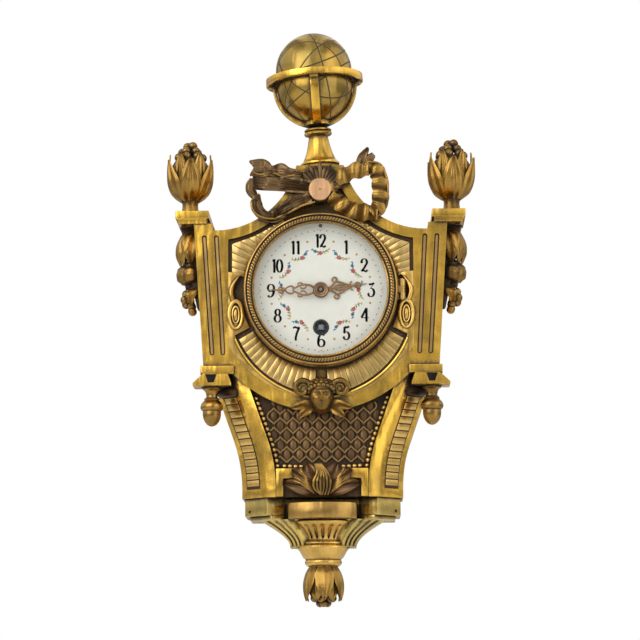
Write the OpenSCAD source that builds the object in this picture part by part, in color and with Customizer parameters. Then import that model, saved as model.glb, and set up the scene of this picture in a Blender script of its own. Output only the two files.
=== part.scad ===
// Cartel clock: a small gilt wall clock with an enamel dial and a pendulum movement.
// Millimetres. The wall is the plane y = 0 and the front faces -Y.
// The origin is the hanging eye at the back; the modules below are drawn round the dial centre.

/* [Case] */
// Height of the hanging eye above the dial centre
eye_rise = 60; // [56:1:64]
// Depth from the wall to the pilaster faces
case_depth = 53; // [53:0.5:58]
// Wall thickness of the case castings
case_wall = 4; // [3:0.5:5]
// Depth of the sunk field round the dial
recess_d = 3; // [2:0.5:4]
// Thickness of the floor of the sunk field
floor_t = 4; // [3:0.5:5]
// Half width across the pilasters under the capitals
head_half = 76.5; // [74:0.5:79]
// Half width across the pilasters at their bases
base_half = 70.5; // [69.5:0.5:73]
// Radius of the scooped shoulders
shoulder_r = 50; // [48:0.5:51]
// Outer radius of the crescent under the dial
crescent_r = 72.6; // [71.5:0.1:74]
// Width of the polished crescent band
crescent_w = 7.6; // [6:0.2:9]
// Width of a pilaster flute
flute_w = 3; // [2:0.2:4]
// Depth of a pilaster flute
flute_d = 1.4; // [0.8:0.2:2]
// Width of a capital slab
abacus_w = 20.3; // [18:0.1:22]
// Thickness of a capital slab
abacus_t = 4.9; // [4:0.1:6]

/* [Dial and bezel] */
// Radius of the glazed opening
view_r = 39.9; // [39.5:0.1:40.5]
// How far the dial runs under the bezel
dial_lap = 2.3; // [1.8:0.1:2.6]
// Thickness of the dial
dial_t = 2; // [1.2:0.1:2.4]
// Width of the bezel ring
bezel_w = 6.5; // [6:0.1:7]
// Depth of the bezel ring
bezel_t = 7.7; // [7:0.1:9]
// Thickness of the glass
glass_t = 1.2; // [0.8:0.1:1.6]
// Radius of the bezel hinge pin
hinge_pin_r = 0.8; // [0.6:0.05:1]
// Length of the minute hand from its centre
minute_len = 32; // [28:0.5:35]
// Length of the hour hand from its centre
hour_len = 28; // [24:0.5:29]

/* [Movement] */
// Radius of the movement plates
plate_r = 37; // [36.6:0.1:37.4]
// Thickness of the movement plates
plate_t = 2; // [1.6:0.1:2.4]
// Distance between the movement plates
plate_gap = 22; // [22:0.5:24]
// Drop of the winding arbor below the dial centre
barrel_drop = 22.4; // [22:0.1:22.8]
// Rise of the escape wheel above the dial centre
escape_rise = 19.4; // [19:0.1:20]
// Rise of the pallet arbor above the escape wheel
pallet_rise = 9.6; // [9.4:0.1:10]
// Rise of the rate arbor above the dial centre
rate_rise = 39.3; // [39.2:0.05:39.4]
// Module of the great wheel and the intermediate pinion
great_m = 0.38; // [0.37:0.005:0.385]
// Module of the intermediate wheel and the centre pinion
second_m = 0.46; // [0.455:0.005:0.465]
// Module of the centre wheel and the third pinion
centre_m = 0.3; // [0.295:0.005:0.305]
// Module of the third wheel and the escape pinion
third_m = 0.25; // [0.245:0.005:0.255]
// Module of the motion work under the dial
motion_m = 0.5; // [0.48:0.01:0.52]
// Length of the pendulum from its bending line to the middle of the bob
pendulum_len = 115.5; // [108:0.5:120]
// Radius of the pendulum bob
bob_r = 13; // [11:0.5:14]

/* [Waist and base] */
// Half width of the waist at its foot
waist_half = 48.5; // [46:0.5:50]
// Half width across the console ridges at the foot
ridge_half = 34.2; // [33:0.2:36]
// Half width of the opening between the consoles at the foot
panel_half = 27.7; // [26:0.2:29]
// Radius of the lower sweep of the consoles
sweep_r = 90; // [80:1:100]
// Slant of the consoles above that sweep, in degrees
sweep_tilt = 19.3; // [18:0.1:20]
// Level of the foot of the consoles below the dial centre
waist_drop = 123.7; // [122:0.1:128]
// Height of the base block
block_h = 11; // [9:0.5:13]
// Thickness of the lattice panel
panel_t = 3; // [2.5:0.5:4]
// Radius of a bead along the panel
bead_r = 1.25; // [1:0.05:1.4]
// Radius of the fluted cup under the base
cup_r = 18.6; // [17.5:0.1:19.5]

/* [Ornament] */
// Radius of the globe
globe_r = 23.4; // [22:0.1:24]
// Radius of the horizon ring round the globe
ring_r = 29.9; // [29:0.1:30.5]
// Rise of the horizon ring above the dial centre
ring_rise = 134.2; // [132:0.2:137]
// Greatest radius of a finial flower
finial_r = 15.2; // [13:0.1:15.5]
// Greatest radius of an acorn
acorn_r = 6.9; // [6:0.1:7.2]
// Greatest radius of the bud under the cup
bud_r = 12; // [10.5:0.1:13]
// Radius of the disc on the bow
boss_r = 6.9; // [6:0.1:7.5]

/* [Hidden] */
$fn = 48;

gilt = "#c79a3c";
dark_gilt = "#8a6a2c";
brass = "#b08d45";
steel = "#5a5f66";
copper = "#c08a62";

// Clearances: pieces that sit in one another, pivots that turn, and moving pieces that pass
fit = 0.2;
running = 0.03;
pass = 0.3;
eps = 0.01;

// Planes along y, from the wall forward
y_frame = -case_depth;
y_floor = y_frame + recess_d;
y_plate = y_floor + floor_t;
y_back = y_plate + plate_gap;
y_rear = y_back + plate_t;
y_web = y_plate - plate_t;
y_dial = y_frame - dial_t;
y_waist = y_frame + 19;
y_ridge = y_frame + 3;
y_panel = y_frame + 7;

// Case levels and places round the dial centre
base_z = -50;
head_z = 41.6;
pediment_z = 77;
shoulder_x = 63.3;
shoulder_z = 87.5;
head_in = 65;
field_r = crescent_r - crescent_w;
field_half = 55.8;
shoulder_band = 6;
plinth_t = 5;
flare_h = 7;
flare_in = 54;
flare_out = 77;
flare_y = y_frame - 3;
flare_deep = 21;
abacus_x = 77.5;
abacus_z = head_z + 2.9;
abacus_top = abacus_z + abacus_t;
capital_y = y_frame - 2;
capital_deep = 42;
finial_x = abacus_x + 2.5;
finial_y = capital_y + capital_deep / 2;
acorn_x = (flare_in + flare_out) / 2 + 0.6;
acorn_y = flare_y + flare_deep / 2;

// Dial seat
dial_r = view_r + dial_lap;
bezel_r = view_r + bezel_w;
opening_r = view_r + 1.1;
tube_r = opening_r - pass;
tube_in = tube_r - 2.7;
web_in = plate_r - 4;
lip_in = dial_r + fit;
lip_t = 1.6;
y_lip = y_frame - 3;
flange_r = bezel_r - 0.4;
y_door = y_lip - pass;
y_bezel = y_door - bezel_t;
rebate_r = view_r + 1.1;
y_glass = y_bezel + 2.8;
knuckle_r = hinge_pin_r + 1.2;
hinge_x = bezel_r + knuckle_r + pass;
hinge_y = y_door - 0.2;
knuckle_h = 4;
screw_r = 1;
screw_head_r = 1.8;
screw_head_t = 1.5;
screw_len = 5.5;
web_screw_r = (web_in + plate_r) / 2 + 0.5;
flange_screw_r = opening_r + 2.4;
grommet_r = 4.9;
grommet_in = 3.6;
grommet_tube = 4.1;
square_w = 3;
collet_r = 4.5;

// Tooth counts of the going train and the motion work
great_n = 72;
second_p = 10;
second_n = 60;
centre_p = 8;
centre_n = 96;
third_p = 8;
third_n = 88;
escape_p = 8;
escape_n = 40;
cannon_n = 10;
minute_n = 30;
minute_p = 8;
hour_n = 32;
escape_r = 8;
escape_depth = 1.5;

// Where two circles round p and q meet, on one side of the line between them
function meet(p, rp, q, rq, side) =
    let (d = norm(q - p), a = (rp * rp - rq * rq + d * d) / (2 * d), u = (q - p) / d)
    p + a * u + side * sqrt(rp * rp - a * a) * [-u.y, u.x];
function span(m, a, b) = m * (a + b) / 2;
function bearing(p, q) = atan2(q.y - p.y, q.x - p.x);
function polar(r, a) = [r * cos(a), r * sin(a)];
// Angle of the first tooth of the second wheel, so that it meshes with the first
function mesh_phase(theta, phi, na, nb) = theta + 180 - 360 / nb * ((phi - theta) * na / 360 + 0.5);

centre_at = [0, 0];
barrel_at = [0, -barrel_drop];
second_at = meet(barrel_at, span(great_m, great_n, second_p), centre_at, span(second_m, second_n, centre_p), -1);
escape_at = [0, escape_rise];
third_at = meet(centre_at, span(centre_m, centre_n, third_p), escape_at, span(third_m, third_n, escape_p), 1);
pallet_at = [0, escape_rise + pallet_rise];
rate_at = [0, rate_rise];
minute_at = polar(span(motion_m, cannon_n, minute_n), 135);
click_at = barrel_at + polar(11.5, 140);

pivot_r = 0.6;
centre_r = 1;
winding_r = 2;
winding_pivot_r = 0.9;
rate_r = 0.85;
pillar_r = 2.5;
tenon_r = 1.5;
pillar_at = 33;
stud_r = 0.9;

// Places along the train, measured back from the front plate
t_centre_wheel = 1.5;
t_barrel = 4;
t_third_wheel = 8;
t_great_wheel = 14.5;
t_escape_wheel = plate_gap - 5;
t_second_wheel = plate_gap - 3.5;
wheel_t = 1;
drum_r = 12.5;
drum_wall = 1;
spring_turns = 6;
spring_t = 0.5;

// Pendulum behind the movement
cock_gap = 4;
cock_t = 1.6;
y_cock = y_rear + cock_gap;
chop_d = 4.8;
y_swing = y_cock + cock_t + chop_d / 2;
chop_z = pallet_at.y;
spring_w = 3;
strip_t = 0.3;
strip_end = pallet_at.y - 14.5;
rod_r = 0.9;
rod_top = strip_end + 2.6;
fork_z = 4;
crutch_pin_r = 0.6;
bob_z = pallet_at.y - pendulum_len;
bob_t = 8;

// Waist outline: a sweep that leaves the foot upright and runs on as a slant
sweep_z = -118;
sweep_h = sweep_r * sin(sweep_tilt);
function sweep(z) =
    let (d = max(z - sweep_z, 0))
    d < sweep_h ? sweep_r - sqrt(sweep_r * sweep_r - d * d)
    : sweep_r * (1 - cos(sweep_tilt)) + (d - sweep_h) * tan(sweep_tilt);
foot_z = -waist_drop;
sweep_steps = 14;
sweep_levels = [foot_z, for (i = [0 : sweep_steps]) sweep_z + (base_z - sweep_z) * i / sweep_steps];
panel_foot = foot_z + 17;
rung_n = 13;
rung_top = -62;
rung_foot = -118;
block_z = foot_z - block_h;
cup_y = -26;
cup_z = block_z - 2.2;
collar_z = cup_z - 13;
ring_z = collar_z - 13;
bud_z = ring_z - 1.2;
bud_h = 24.5;

globe_y = -32;
globe_split = 3.6;
ring_h = 3.8;
ring_t = 3;
cradle_w = 5;
cradle_t = 2.2;
boss_z = 61;
globe_lean = 3.5;
stem_foot_h = 6;

// Hanging strap across the back of the pediment, held by two screws on posts of the case
eye_r = 3;
strap_t = 2;
strap_at = [12, eye_rise - 3];
strap_post_r = 3;

// Slot under the movement that lets the pendulum through to the waist
slot_half = 16;
slot_deep = 26;

// Draws children, a front-view outline, from the plane y back towards the front
module slab(y, t) {
    translate([0, y, 0]) rotate([90, 0, 0]) linear_extrude(t) children();
}

// A slab about a place in the front view
module disc(p, y, t) {
    translate([p.x, y, p.y]) rotate([90, 0, 0]) linear_extrude(t) children();
}

// A round shaft along y, from y_from to the plane y_to in front of it
module shaft(p, y_from, y_to, r) {
    translate([p.x, y_from, p.y]) rotate([90, 0, 0]) cylinder(r = r, h = y_from - y_to);
}

module at_dial() {
    translate([0, 0, -eye_rise]) children();
}

module both_sides() {
    children();
    mirror([1, 0, 0]) children();
}

// A turned piece on an upright axis
module turned(x, y, points) {
    translate([x, y, 0]) rotate_extrude() polygon(points);
}

// A wheel's outline with straight-sided teeth
module wheel_teeth(n, m, phase) {
    r = n * m / 2;
    step = 360 / n;
    polygon([for (i = [0 : n - 1], k = [[-1.35, -0.29], [1, -0.08], [1, 0.08], [-1.35, 0.29]])
        polar(r + k.x * m, phase + step * (i + k.y))]);
}

// A pinion's outline with radial leaves
module pinion_leaves(n, m, phase) {
    r = n * m / 2;
    step = 360 / n;
    leaf = [[-1.4, -0.14], [0, -0.15], [0.7, -0.06], [0.7, 0.06], [0, 0.15], [-1.4, 0.14]];
    polygon([for (i = [0 : n - 1], k = leaf) polar(r + k.x * m, phase + step * (i + k.y))]);
}

// A wheel with a hub, a rim and crossings
module crossed_wheel(n, m, phase, bore, arms) {
    rim_in = n * m / 2 - 2.6 * m - 0.8;
    hub = bore + 1.4;
    difference() {
        wheel_teeth(n, m, phase);
        difference() {
            circle(rim_in);
            circle(hub);
            for (i = [0 : arms - 1])
                rotate(360 / arms * i) translate([0, -0.7]) square([rim_in + 1, 1.4]);
        }
        circle(bore);
    }
}

// A run of round-section pieces through points, with a radius at each
module stroke(points, radii) {
    for (i = [0 : len(points) - 2])
        hull() {
            translate(points[i]) sphere(radii[i], $fn = 6);
            translate(points[i + 1]) sphere(radii[i + 1], $fn = 6);
        }
}

// A leaf that grows along a path of [radius, height] pairs, as wide as widths says, facing -Y
module petal(path, widths, thick) {
    for (i = [0 : len(path) - 2])
        hull()
            for (k = [i, i + 1])
                translate([0, -path[k].x, path[k].y]) scale([widths[k], thick, thick]) sphere(1, $fn = 6);
}

// The half of the space above a plane y, for cutting flat backs
module behind(y) {
    translate([-200, y, -300]) cube([400, 100, 600]);
}

function side_x(z) = base_half + (z - base_z) * (head_half - base_half) / (head_z - base_z);

// Front outline of the upper case, drawn in by inset
module case_outline(inset) {
    difference() {
        union() {
            polygon([
                [-side_x(base_z) + inset, base_z + inset], [side_x(base_z) - inset, base_z + inset],
                [side_x(head_z) - inset, head_z], [-side_x(head_z) + inset, head_z]
            ]);
            intersection() {
                circle(crescent_r - inset);
                translate([-crescent_r, -2 * crescent_r]) square(2 * crescent_r);
            }
            translate([-shoulder_x, 0]) square([2 * shoulder_x, pediment_z - inset]);
        }
        for (s = [-1, 1])
            translate([s * shoulder_x, shoulder_z]) circle(shoulder_r + inset);
    }
}

module pilaster_head() {
    polygon([[head_in, 30], [side_x(30), 30], [side_x(head_z), head_z], [head_in, head_z]]);
}

module field_outline() {
    difference() {
        intersection() {
            circle(field_r);
            translate([-field_half, -field_r]) square([2 * field_half, 2 * field_r]);
        }
        for (s = [-1, 1])
            translate([s * shoulder_x, shoulder_z]) circle(shoulder_r + shoulder_band);
    }
}

// A round-ended groove from p to q
module flute(p, q) {
    d = q - p;
    translate(p) rotate(atan2(d.y, d.x)) {
        translate([0, -flute_w / 2]) square([norm(d), flute_w]);
        circle(flute_w / 2);
        translate([norm(d), 0]) circle(flute_w / 2);
    }
}

flute_top = 33;
flute_foot = -37;

module upper_case() {
    color(gilt) at_dial() difference() {
        union() {
            difference() {
                slab(0, case_depth) case_outline(0);
                slab(eps, -y_plate + eps) case_outline(case_wall);
                slab(y_floor, recess_d + 1) field_outline();
            }
            both_sides() {
                slab(finial_y + capital_deep / 2 - 1, capital_deep - 3) pilaster_head();
                translate([abacus_x - abacus_w / 2 + 1.5, capital_y + 1, head_z])
                    cube([abacus_w - 3, capital_deep - 2, abacus_z - head_z]);
                translate([abacus_x - abacus_w / 2, capital_y, abacus_z])
                    cube([abacus_w, capital_deep, abacus_t]);
                translate([flare_in - 1.5, capital_y, base_z])
                    cube([side_x(base_z) + 2 - flare_in + 1.5, capital_deep - 8, plinth_t]);
                slab(flare_y + flare_deep, flare_deep)
                    polygon([
                        [flare_in + 2, base_z], [flare_out - 6, base_z], [flare_out, base_z - flare_h + 1.5],
                        [flare_out, base_z - flare_h], [flare_in, base_z - flare_h], [flare_in, base_z - flare_h + 1.5]
                    ]);
            }
            both_sides() shaft(strap_at, -strap_t, y_plate, strap_post_r);
        }
        shaft(centre_at, 0, y_frame - 1, opening_r);
        both_sides() slab(y_frame + flute_d, flute_d + 1) {
            flute([70.2, flute_top], [65.6, flute_foot]);
            flute([62.9, flute_top], [59, flute_foot]);
        }
        translate([-slot_half, -slot_deep, -crescent_r - 1])
            cube([2 * slot_half, slot_deep + eps, 3 * case_wall + 1]);
        for (a = [45 : 90 : 315])
            shaft(polar(flange_screw_r, a), 0, y_floor - 1, screw_r + running);
        both_sides() shaft(strap_at, 1, -screw_head_t - screw_len - 1, screw_r + running);
    }
}

// Front outline of the waist, drawn in by inset
module waist_outline(inset) {
    right = [for (z = sweep_levels) [waist_half + sweep(z) - inset, z]];
    left = [for (i = [len(sweep_levels) - 1 : -1 : 0]) [-right[i].x, right[i].y]];
    difference() {
        polygon(concat(right, left));
        circle(crescent_r);
    }
}

module waist_case() {
    color(gilt) at_dial() difference() {
        slab(0, -y_waist) waist_outline(0);
        slab(eps, -y_waist - 3 + eps) waist_outline(case_wall);
        translate([-waist_half + case_wall, y_waist + 3, foot_z - 1])
            cube([2 * (waist_half - case_wall), 100, 12]);
    }
}

// A solid through rings of points at rising levels
module loft(rings) {
    n = len(rings[0]);
    m = len(rings);
    polyhedron(
        points = [for (ring = rings) each ring],
        faces = [
            [for (i = [0 : n - 1]) i],
            [for (i = [n - 1 : -1 : 0]) (m - 1) * n + i],
            for (k = [0 : m - 2], i = [0 : n - 1])
                each [[k * n + i, (k + 1) * n + i, (k + 1) * n + (i + 1) % n],
                    [k * n + i, (k + 1) * n + (i + 1) % n, k * n + (i + 1) % n]]
        ]
    );
}

// Plan of a console at level z: opening edge, ridge, outer edge, back
function console_ring(z) =
    let (f = sweep(z))
    [[panel_half + f, y_waist, z], [waist_half + f, y_waist, z], [ridge_half + f, y_ridge, z],
        [panel_half + f, y_frame + 0.5, z]];

cant = atan2(y_waist - y_ridge, waist_half - ridge_half);
cant_w = norm([waist_half - ridge_half, y_waist - y_ridge]);

module console() {
    difference() {
        loft([for (z = sweep_levels) console_ring(z)]);
        shaft(centre_at, 0, y_frame - 1, crescent_r);
        translate([flare_in, flare_y - 1, base_z - flare_h]) cube([40, flare_deep + 1, 20]);
        for (i = [0 : rung_n])
            let (z = rung_foot + (rung_top - rung_foot) * i / rung_n)
            translate([ridge_half + sweep(z), y_ridge, z])
                rotate([0, 0, cant])
                    translate([cant_w * 0.22, -1, -0.4]) cube([cant_w * 0.56, 2, 0.8]);
    }
}

module console_left() {
    color(dark_gilt) at_dial() mirror([1, 0, 0]) console();
}

module console_right() {
    color(dark_gilt) at_dial() console();
}

// Front outline of the opening between the consoles
module panel_outline(inset, foot) {
    levels = [foot, for (z = sweep_levels) if (z > foot) z];
    right = [for (z = levels) [panel_half + sweep(z) - inset, z]];
    left = [for (i = [len(levels) - 1 : -1 : 0]) [-right[i].x, right[i].y]];
    difference() {
        polygon(concat(right, left));
        circle(crescent_r);
    }
}

diamond_w = 8.2;
diamond_h = 12.6;
net_w = 1.2;
net_t = 0.8;

module lattice_panel() {
    color("#5f4626") at_dial() {
        slab(y_panel + panel_t, panel_t) panel_outline(0, foot_z);
        slab(y_panel, net_t) intersection() {
            panel_outline(3.2, panel_foot + 3);
            both_sides()
                for (i = [-12 : 12])
                    translate([diamond_w * i, panel_foot])
                        rotate(atan2(diamond_h, diamond_w)) translate([-80, -net_w / 2]) square([220, net_w]);
        }
        slab(y_panel, y_panel - y_frame - 1) difference() {
            panel_outline(0, foot_z);
            translate([-100, panel_foot]) square(200);
        }
    }
}

bead_gap = 4.2;
bead_n = 11;
bead_in = bead_r + 0.35;

module bead_edging() {
    color(gilt) at_dial() both_sides() {
        for (i = [0 : bead_n])
            let (z = panel_foot + bead_in + bead_gap * i, x = panel_half + sweep(z) - bead_in)
            if (norm([x, z]) > crescent_r + bead_r + fit) translate([x, y_panel, z]) bead();
        for (i = [0 : 3])
            translate([panel_half - bead_in - bead_gap * (i + 1), y_panel, panel_foot + bead_in]) bead();
    }
}

module bead() {
    rotate([90, 0, 0]) {
        cylinder(r = bead_r, h = 1.2);
        translate([0, 0, 1.2]) rotate_extrude() intersection() {
            circle(bead_r);
            square(bead_r);
        }
    }
}

module leaf_spray() {
    top = panel_foot - 1;
    low = foot_z + 0.6;
    color(dark_gilt) at_dial() difference() {
        union() {
            for (s = [-1, 1], k = [0 : 3])
                let (a = s * (18 + 22 * k), l = 15 - 2 * k)
                translate([s * 1.5, y_frame, low + 2.5]) rotate([0, a, 0]) petal(
                    [[0.5, 0], [2.5, l * 0.4], [3.4, l * 0.8], [2.4, l]], [1.6, 2.7, 2.2, 0.6], 1.2
                );
            translate([0, y_frame, low + 2]) petal(
                [[0.5, 0], [3.6, 6], [4.6, 11], [3.4, top - low - 3]], [2.2, 3.6, 3, 0.8], 1.5
            );
            translate([0, y_frame, low + 5]) rotate([90, 0, 0]) cylinder(r = 4.2, h = 4, $fn = 12);
        }
        behind(y_frame + 1);
        translate([-100, -100, foot_z - 20]) cube([200, 100, 20]);
    }
}

mask_z = -64.5;

module horned_mask() {
    color(dark_gilt) at_dial() difference() {
        union() {
            hull() {
                translate([0, y_frame, mask_z + 3]) scale([7, 6, 7.5]) sphere(1, $fn = 16);
                translate([0, y_frame, mask_z - 7.5]) scale([4, 5, 4]) sphere(1, $fn = 16);
            }
            stroke(
                [[0, y_frame - 5.8, mask_z + 3], [0, y_frame - 7.4, mask_z - 1.5], [0, y_frame - 5.4, mask_z - 2.6]],
                [0.9, 1.5, 1.2]
            );
            both_sides() {
                stroke([for (i = [0 : 7]) let (a = 110 - i * 48, r = 5.2 - 0.45 * i)
                    [9.6 + r * cos(a), y_frame - 1.6, mask_z + 4.6 + r * sin(a)]],
                    [for (i = [0 : 7]) 2.1 - 0.16 * i]);
                stroke([[5, y_frame - 2, mask_z - 4], [10, y_frame - 1.6, mask_z - 6],
                    [15, y_frame - 1.2, mask_z - 3.5]], [1.6, 2, 1]);
            }
            for (k = [-3 : 3])
                translate([k * 2.1, y_frame - 3.6 + abs(k) * 0.5, mask_z + 9.6 - abs(k) * 0.7]) sphere(1.7, $fn = 8);
        }
        behind(y_frame);
    }
}

// Plan of the base at a given share of its width
function base_plan(k, z) = [
    for (p = [[-waist_half, -2], [-waist_half, y_waist], [-ridge_half, y_ridge], [ridge_half, y_ridge],
        [waist_half, y_waist], [waist_half, -2]]) [p.x * k, cup_y + (p.y - cup_y) * k, z]
];

wing_h = 15;
wing_steps = 5;

module base_bracket() {
    color(gilt) at_dial() difference() {
        union() {
            translate([0, 0, block_z]) linear_extrude(block_h) polygon([
                [-waist_half, 0], [-waist_half, y_waist], [-ridge_half, y_ridge], [ridge_half, y_ridge],
                [waist_half, y_waist], [waist_half, 0]
            ]);
            translate([0, 0, block_z]) linear_extrude(block_h) intersection() {
                translate([0, y_frame - 2 + 44]) circle(44);
                translate([-20.4, y_frame - 3]) square([40.8, 20]);
            }
            loft([for (i = [0 : wing_steps + 1])
                i == 0 ? base_plan(0.42, block_z - wing_h)
                : let (u = (i - 1) / wing_steps)
                    base_plan(0.46 + 0.44 * (1 - cos(90 * u)), block_z - wing_h + 1 + (wing_h - 1 + eps) * u)]);
        }
        translate([0, cup_y, block_z - wing_h - 1]) cylinder(r = cup_r + fit, h = wing_h + 1 - 2.2);
    }
}

module fluted_cup() {
    color(gilt) at_dial() {
        turned(0, cup_y, [
            [0, cup_z], [cup_r, cup_z], [cup_r, cup_z - 1.5], [cup_r - 3.4, cup_z - 5], [cup_r - 5.5, cup_z - 9],
            [cup_r - 6.2, collar_z + 1], [cup_r - 3, collar_z], [cup_r - 3, collar_z - 4], [cup_r - 4.5, collar_z - 5],
            [cup_r - 7.8, collar_z - 8], [cup_r - 7.8, collar_z - 10], [cup_r - 7, ring_z + 1.5], [cup_r - 7, ring_z - 1.2],
            [0, ring_z - 1.2]
        ]);
    }
}

module drop_bud() {
    low = bud_z - bud_h;
    color(dark_gilt) at_dial() translate([0, cup_y, 0]) {
        rotate_extrude($fn = 16) polygon([
            [0, bud_z], [bud_r * 0.7, bud_z], [bud_r * 0.62, bud_z - 3], [bud_r * 0.8, bud_z - 9],
            [bud_r * 0.6, bud_z - 16.5], [0, bud_z - 18.6]
        ]);
        for (k = [0 : 5])
            rotate([0, 0, 60 * k]) petal(
                [[bud_r * 0.55, bud_z - 1.2], [bud_r * 0.86, bud_z - 8], [bud_r * 0.84, bud_z - 14], [bud_r * 0.66, bud_z - 18.6]],
                [2.4, 4.6, 3.6, 1], 1.1
            );
        for (k = [0 : 6])
            rotate([0, 0, 51.4 * k]) translate([4.6, 0, bud_z - 19.2]) sphere(2.6, $fn = 8);
        translate([0, 0, low + 3]) sphere(3, $fn = 8);
    }
}

module finial() {
    z = abacus_top;
    translate([0, finial_y, 0]) {
        rotate_extrude($fn = 20) polygon([
            [0, z], [7.4, z], [7.4, z + 2], [5.2, z + 3.6], [4.5, z + 10], [6, z + 12.6], [9.6, z + 17.5],
            [11.6, z + 26], [11, z + 34], [9, z + 38.5], [0, z + 43.5]
        ]);
        for (k = [0 : 7])
            rotate([0, 0, 45 * k]) petal(
                [[5.6, z + 12], [finial_r - 3.4, z + 20], [finial_r - 1.3, z + 29], [finial_r - 1.2, z + 38.5]],
                [2.4, 5.2, 5, 1], 1.3
            );
        for (k = [0 : 5])
            rotate([0, 0, 60 * k]) translate([5.4, 0, z + 41]) sphere(3.4, $fn = 8);
        translate([0, 0, z + 44.5]) sphere(3.6, $fn = 8);
    }
}

module finial_left() {
    color(dark_gilt) at_dial() translate([-finial_x, 0, 0]) finial();
}

module finial_right() {
    color(dark_gilt) at_dial() translate([finial_x, 0, 0]) finial();
}

// A husk, a fruit cluster and a tail of berries against the side of a pilaster
module garland() {
    y = finial_y;
    difference() {
        union() {
            for (k = [-2 : 2])
                stroke(
                    [[side_x(40) + 3, y + k, 42], [side_x(30) + 7, y + 2.2 * k, 32], [side_x(22) + 6, y + 3.4 * k, 23]],
                    [2.4, 2.8, 1.3]
                );
            stroke([for (z = [41, 20, 0, -11]) [side_x(z) + 2.4, y, z]], [1.6, 1.6, 1.6, 1.2]);
            for (p = [[4, -5, 16], [5, 4, 17], [7.6, 0, 12], [4.5, -6, 7], [4.6, 6, 8], [6.8, -1, 3], [4, 4, -1]])
                translate([side_x(p.z) + p.x, y + p.y, p.z]) sphere(4.4, $fn = 10);
            for (p = [[3, 0, -5], [2.8, 3, -8], [2.6, -2, -9], [2.2, 0.5, -12.5]])
                translate([side_x(p.z) + p.x, y + p.y, p.z]) sphere(2.6, $fn = 8);
        }
        slab(0, case_depth) case_outline(0);
        slab(0, case_depth) pilaster_head();
        translate([0, -100, head_z]) cube([200, 100, 30]);
    }
}

module garland_left() {
    color(dark_gilt) at_dial() mirror([1, 0, 0]) garland();
}

module garland_right() {
    color(dark_gilt) at_dial() garland();
}

module acorn() {
    z = base_z - flare_h;
    turned(acorn_x, acorn_y, [
        [0, z], [5.6, z], [5.6, z - 1.6], [3.6, z - 3.4], [3.4, z - 6.4], [4.6, z - 7.6], [acorn_r - 1, z - 9.4],
        [acorn_r, z - 12], [acorn_r - 0.4, z - 14.2], [acorn_r - 1.5, z - 14.6], [acorn_r - 1.5, z - 18],
        [acorn_r - 2.6, z - 21], [acorn_r - 4.4, z - 23], [0, z - 23.8]
    ]);
}

module acorn_left() {
    color(gilt) at_dial() mirror([1, 0, 0]) acorn();
}

module acorn_right() {
    color(gilt) at_dial() acorn();
}

// The globe and its stem have come to lean to the viewer's left, about the foot of the stem
module leaning() {
    translate([0, globe_y, pediment_z]) rotate([0, -globe_lean, 0]) translate([0, -globe_y, -pediment_z]) children();
}

module globe() {
    color(gilt) at_dial() leaning() translate([0, globe_y, ring_rise]) rotate_extrude() intersection() {
        union() {
            translate([0, globe_split]) circle(globe_r);
            translate([0, -globe_split]) circle(globe_r);
            translate([0, -globe_split]) square([globe_r, 2 * globe_split]);
        }
        translate([0, -2 * globe_r]) square([globe_r + 1, 4 * globe_r]);
    }
}

module globe_cradle() {
    arm_z = -globe_split;
    color(gilt) at_dial() leaning() translate([0, globe_y, ring_rise]) {
        translate([0, 0, -ring_h / 2]) rotate_extrude() translate([ring_r - ring_t, 0]) square([ring_t, ring_h]);
        intersection() {
            rotate_extrude() difference() {
                union() {
                    translate([0, arm_z]) circle(globe_r + pass + cradle_t);
                    translate([globe_r + pass, arm_z]) square([ring_r - ring_t / 2 - globe_r - pass, cradle_t]);
                }
                translate([0, arm_z]) circle(globe_r + pass);
                translate([-100, arm_z + cradle_t]) square(200);
                translate([-100, -100]) square([100, 200]);
            }
            union() {
                translate([-40, -cradle_w / 2, -60]) cube([80, cradle_w, 60]);
                translate([-cradle_w / 2, -40, -60]) cube([cradle_w, 80, 60]);
                cylinder(r = 8, h = 120, center = true);
            }
        }
    }
}

module globe_stem() {
    top = ring_rise - globe_split - globe_r - pass - cradle_t;
    color(gilt) at_dial() {
        turned(0, globe_y, [
            [0, pediment_z], [13.5, pediment_z], [13.5, pediment_z + 3], [11, pediment_z + stem_foot_h],
            [0, pediment_z + stem_foot_h]
        ]);
        leaning() turned(0, globe_y, [
            [0, pediment_z + 3], [10.6, pediment_z + 3], [10.4, pediment_z + 8.6], [7.4, pediment_z + 15],
            [5.7, pediment_z + 22], [8.4, pediment_z + 24.4], [8.4, pediment_z + 26.4], [4, top], [0, top]
        ]);
    }
}

// A flat ribbon through front-view points, lying at depth y
module ribbon(points, widths, y, t) {
    for (i = [0 : len(points) - 2])
        hull()
            for (k = [i, i + 1])
                translate([points[k].x, y, points[k].y]) rotate([90, 0, 0]) cylinder(r = widths[k] / 2, h = t, $fn = 8);
}

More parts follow.
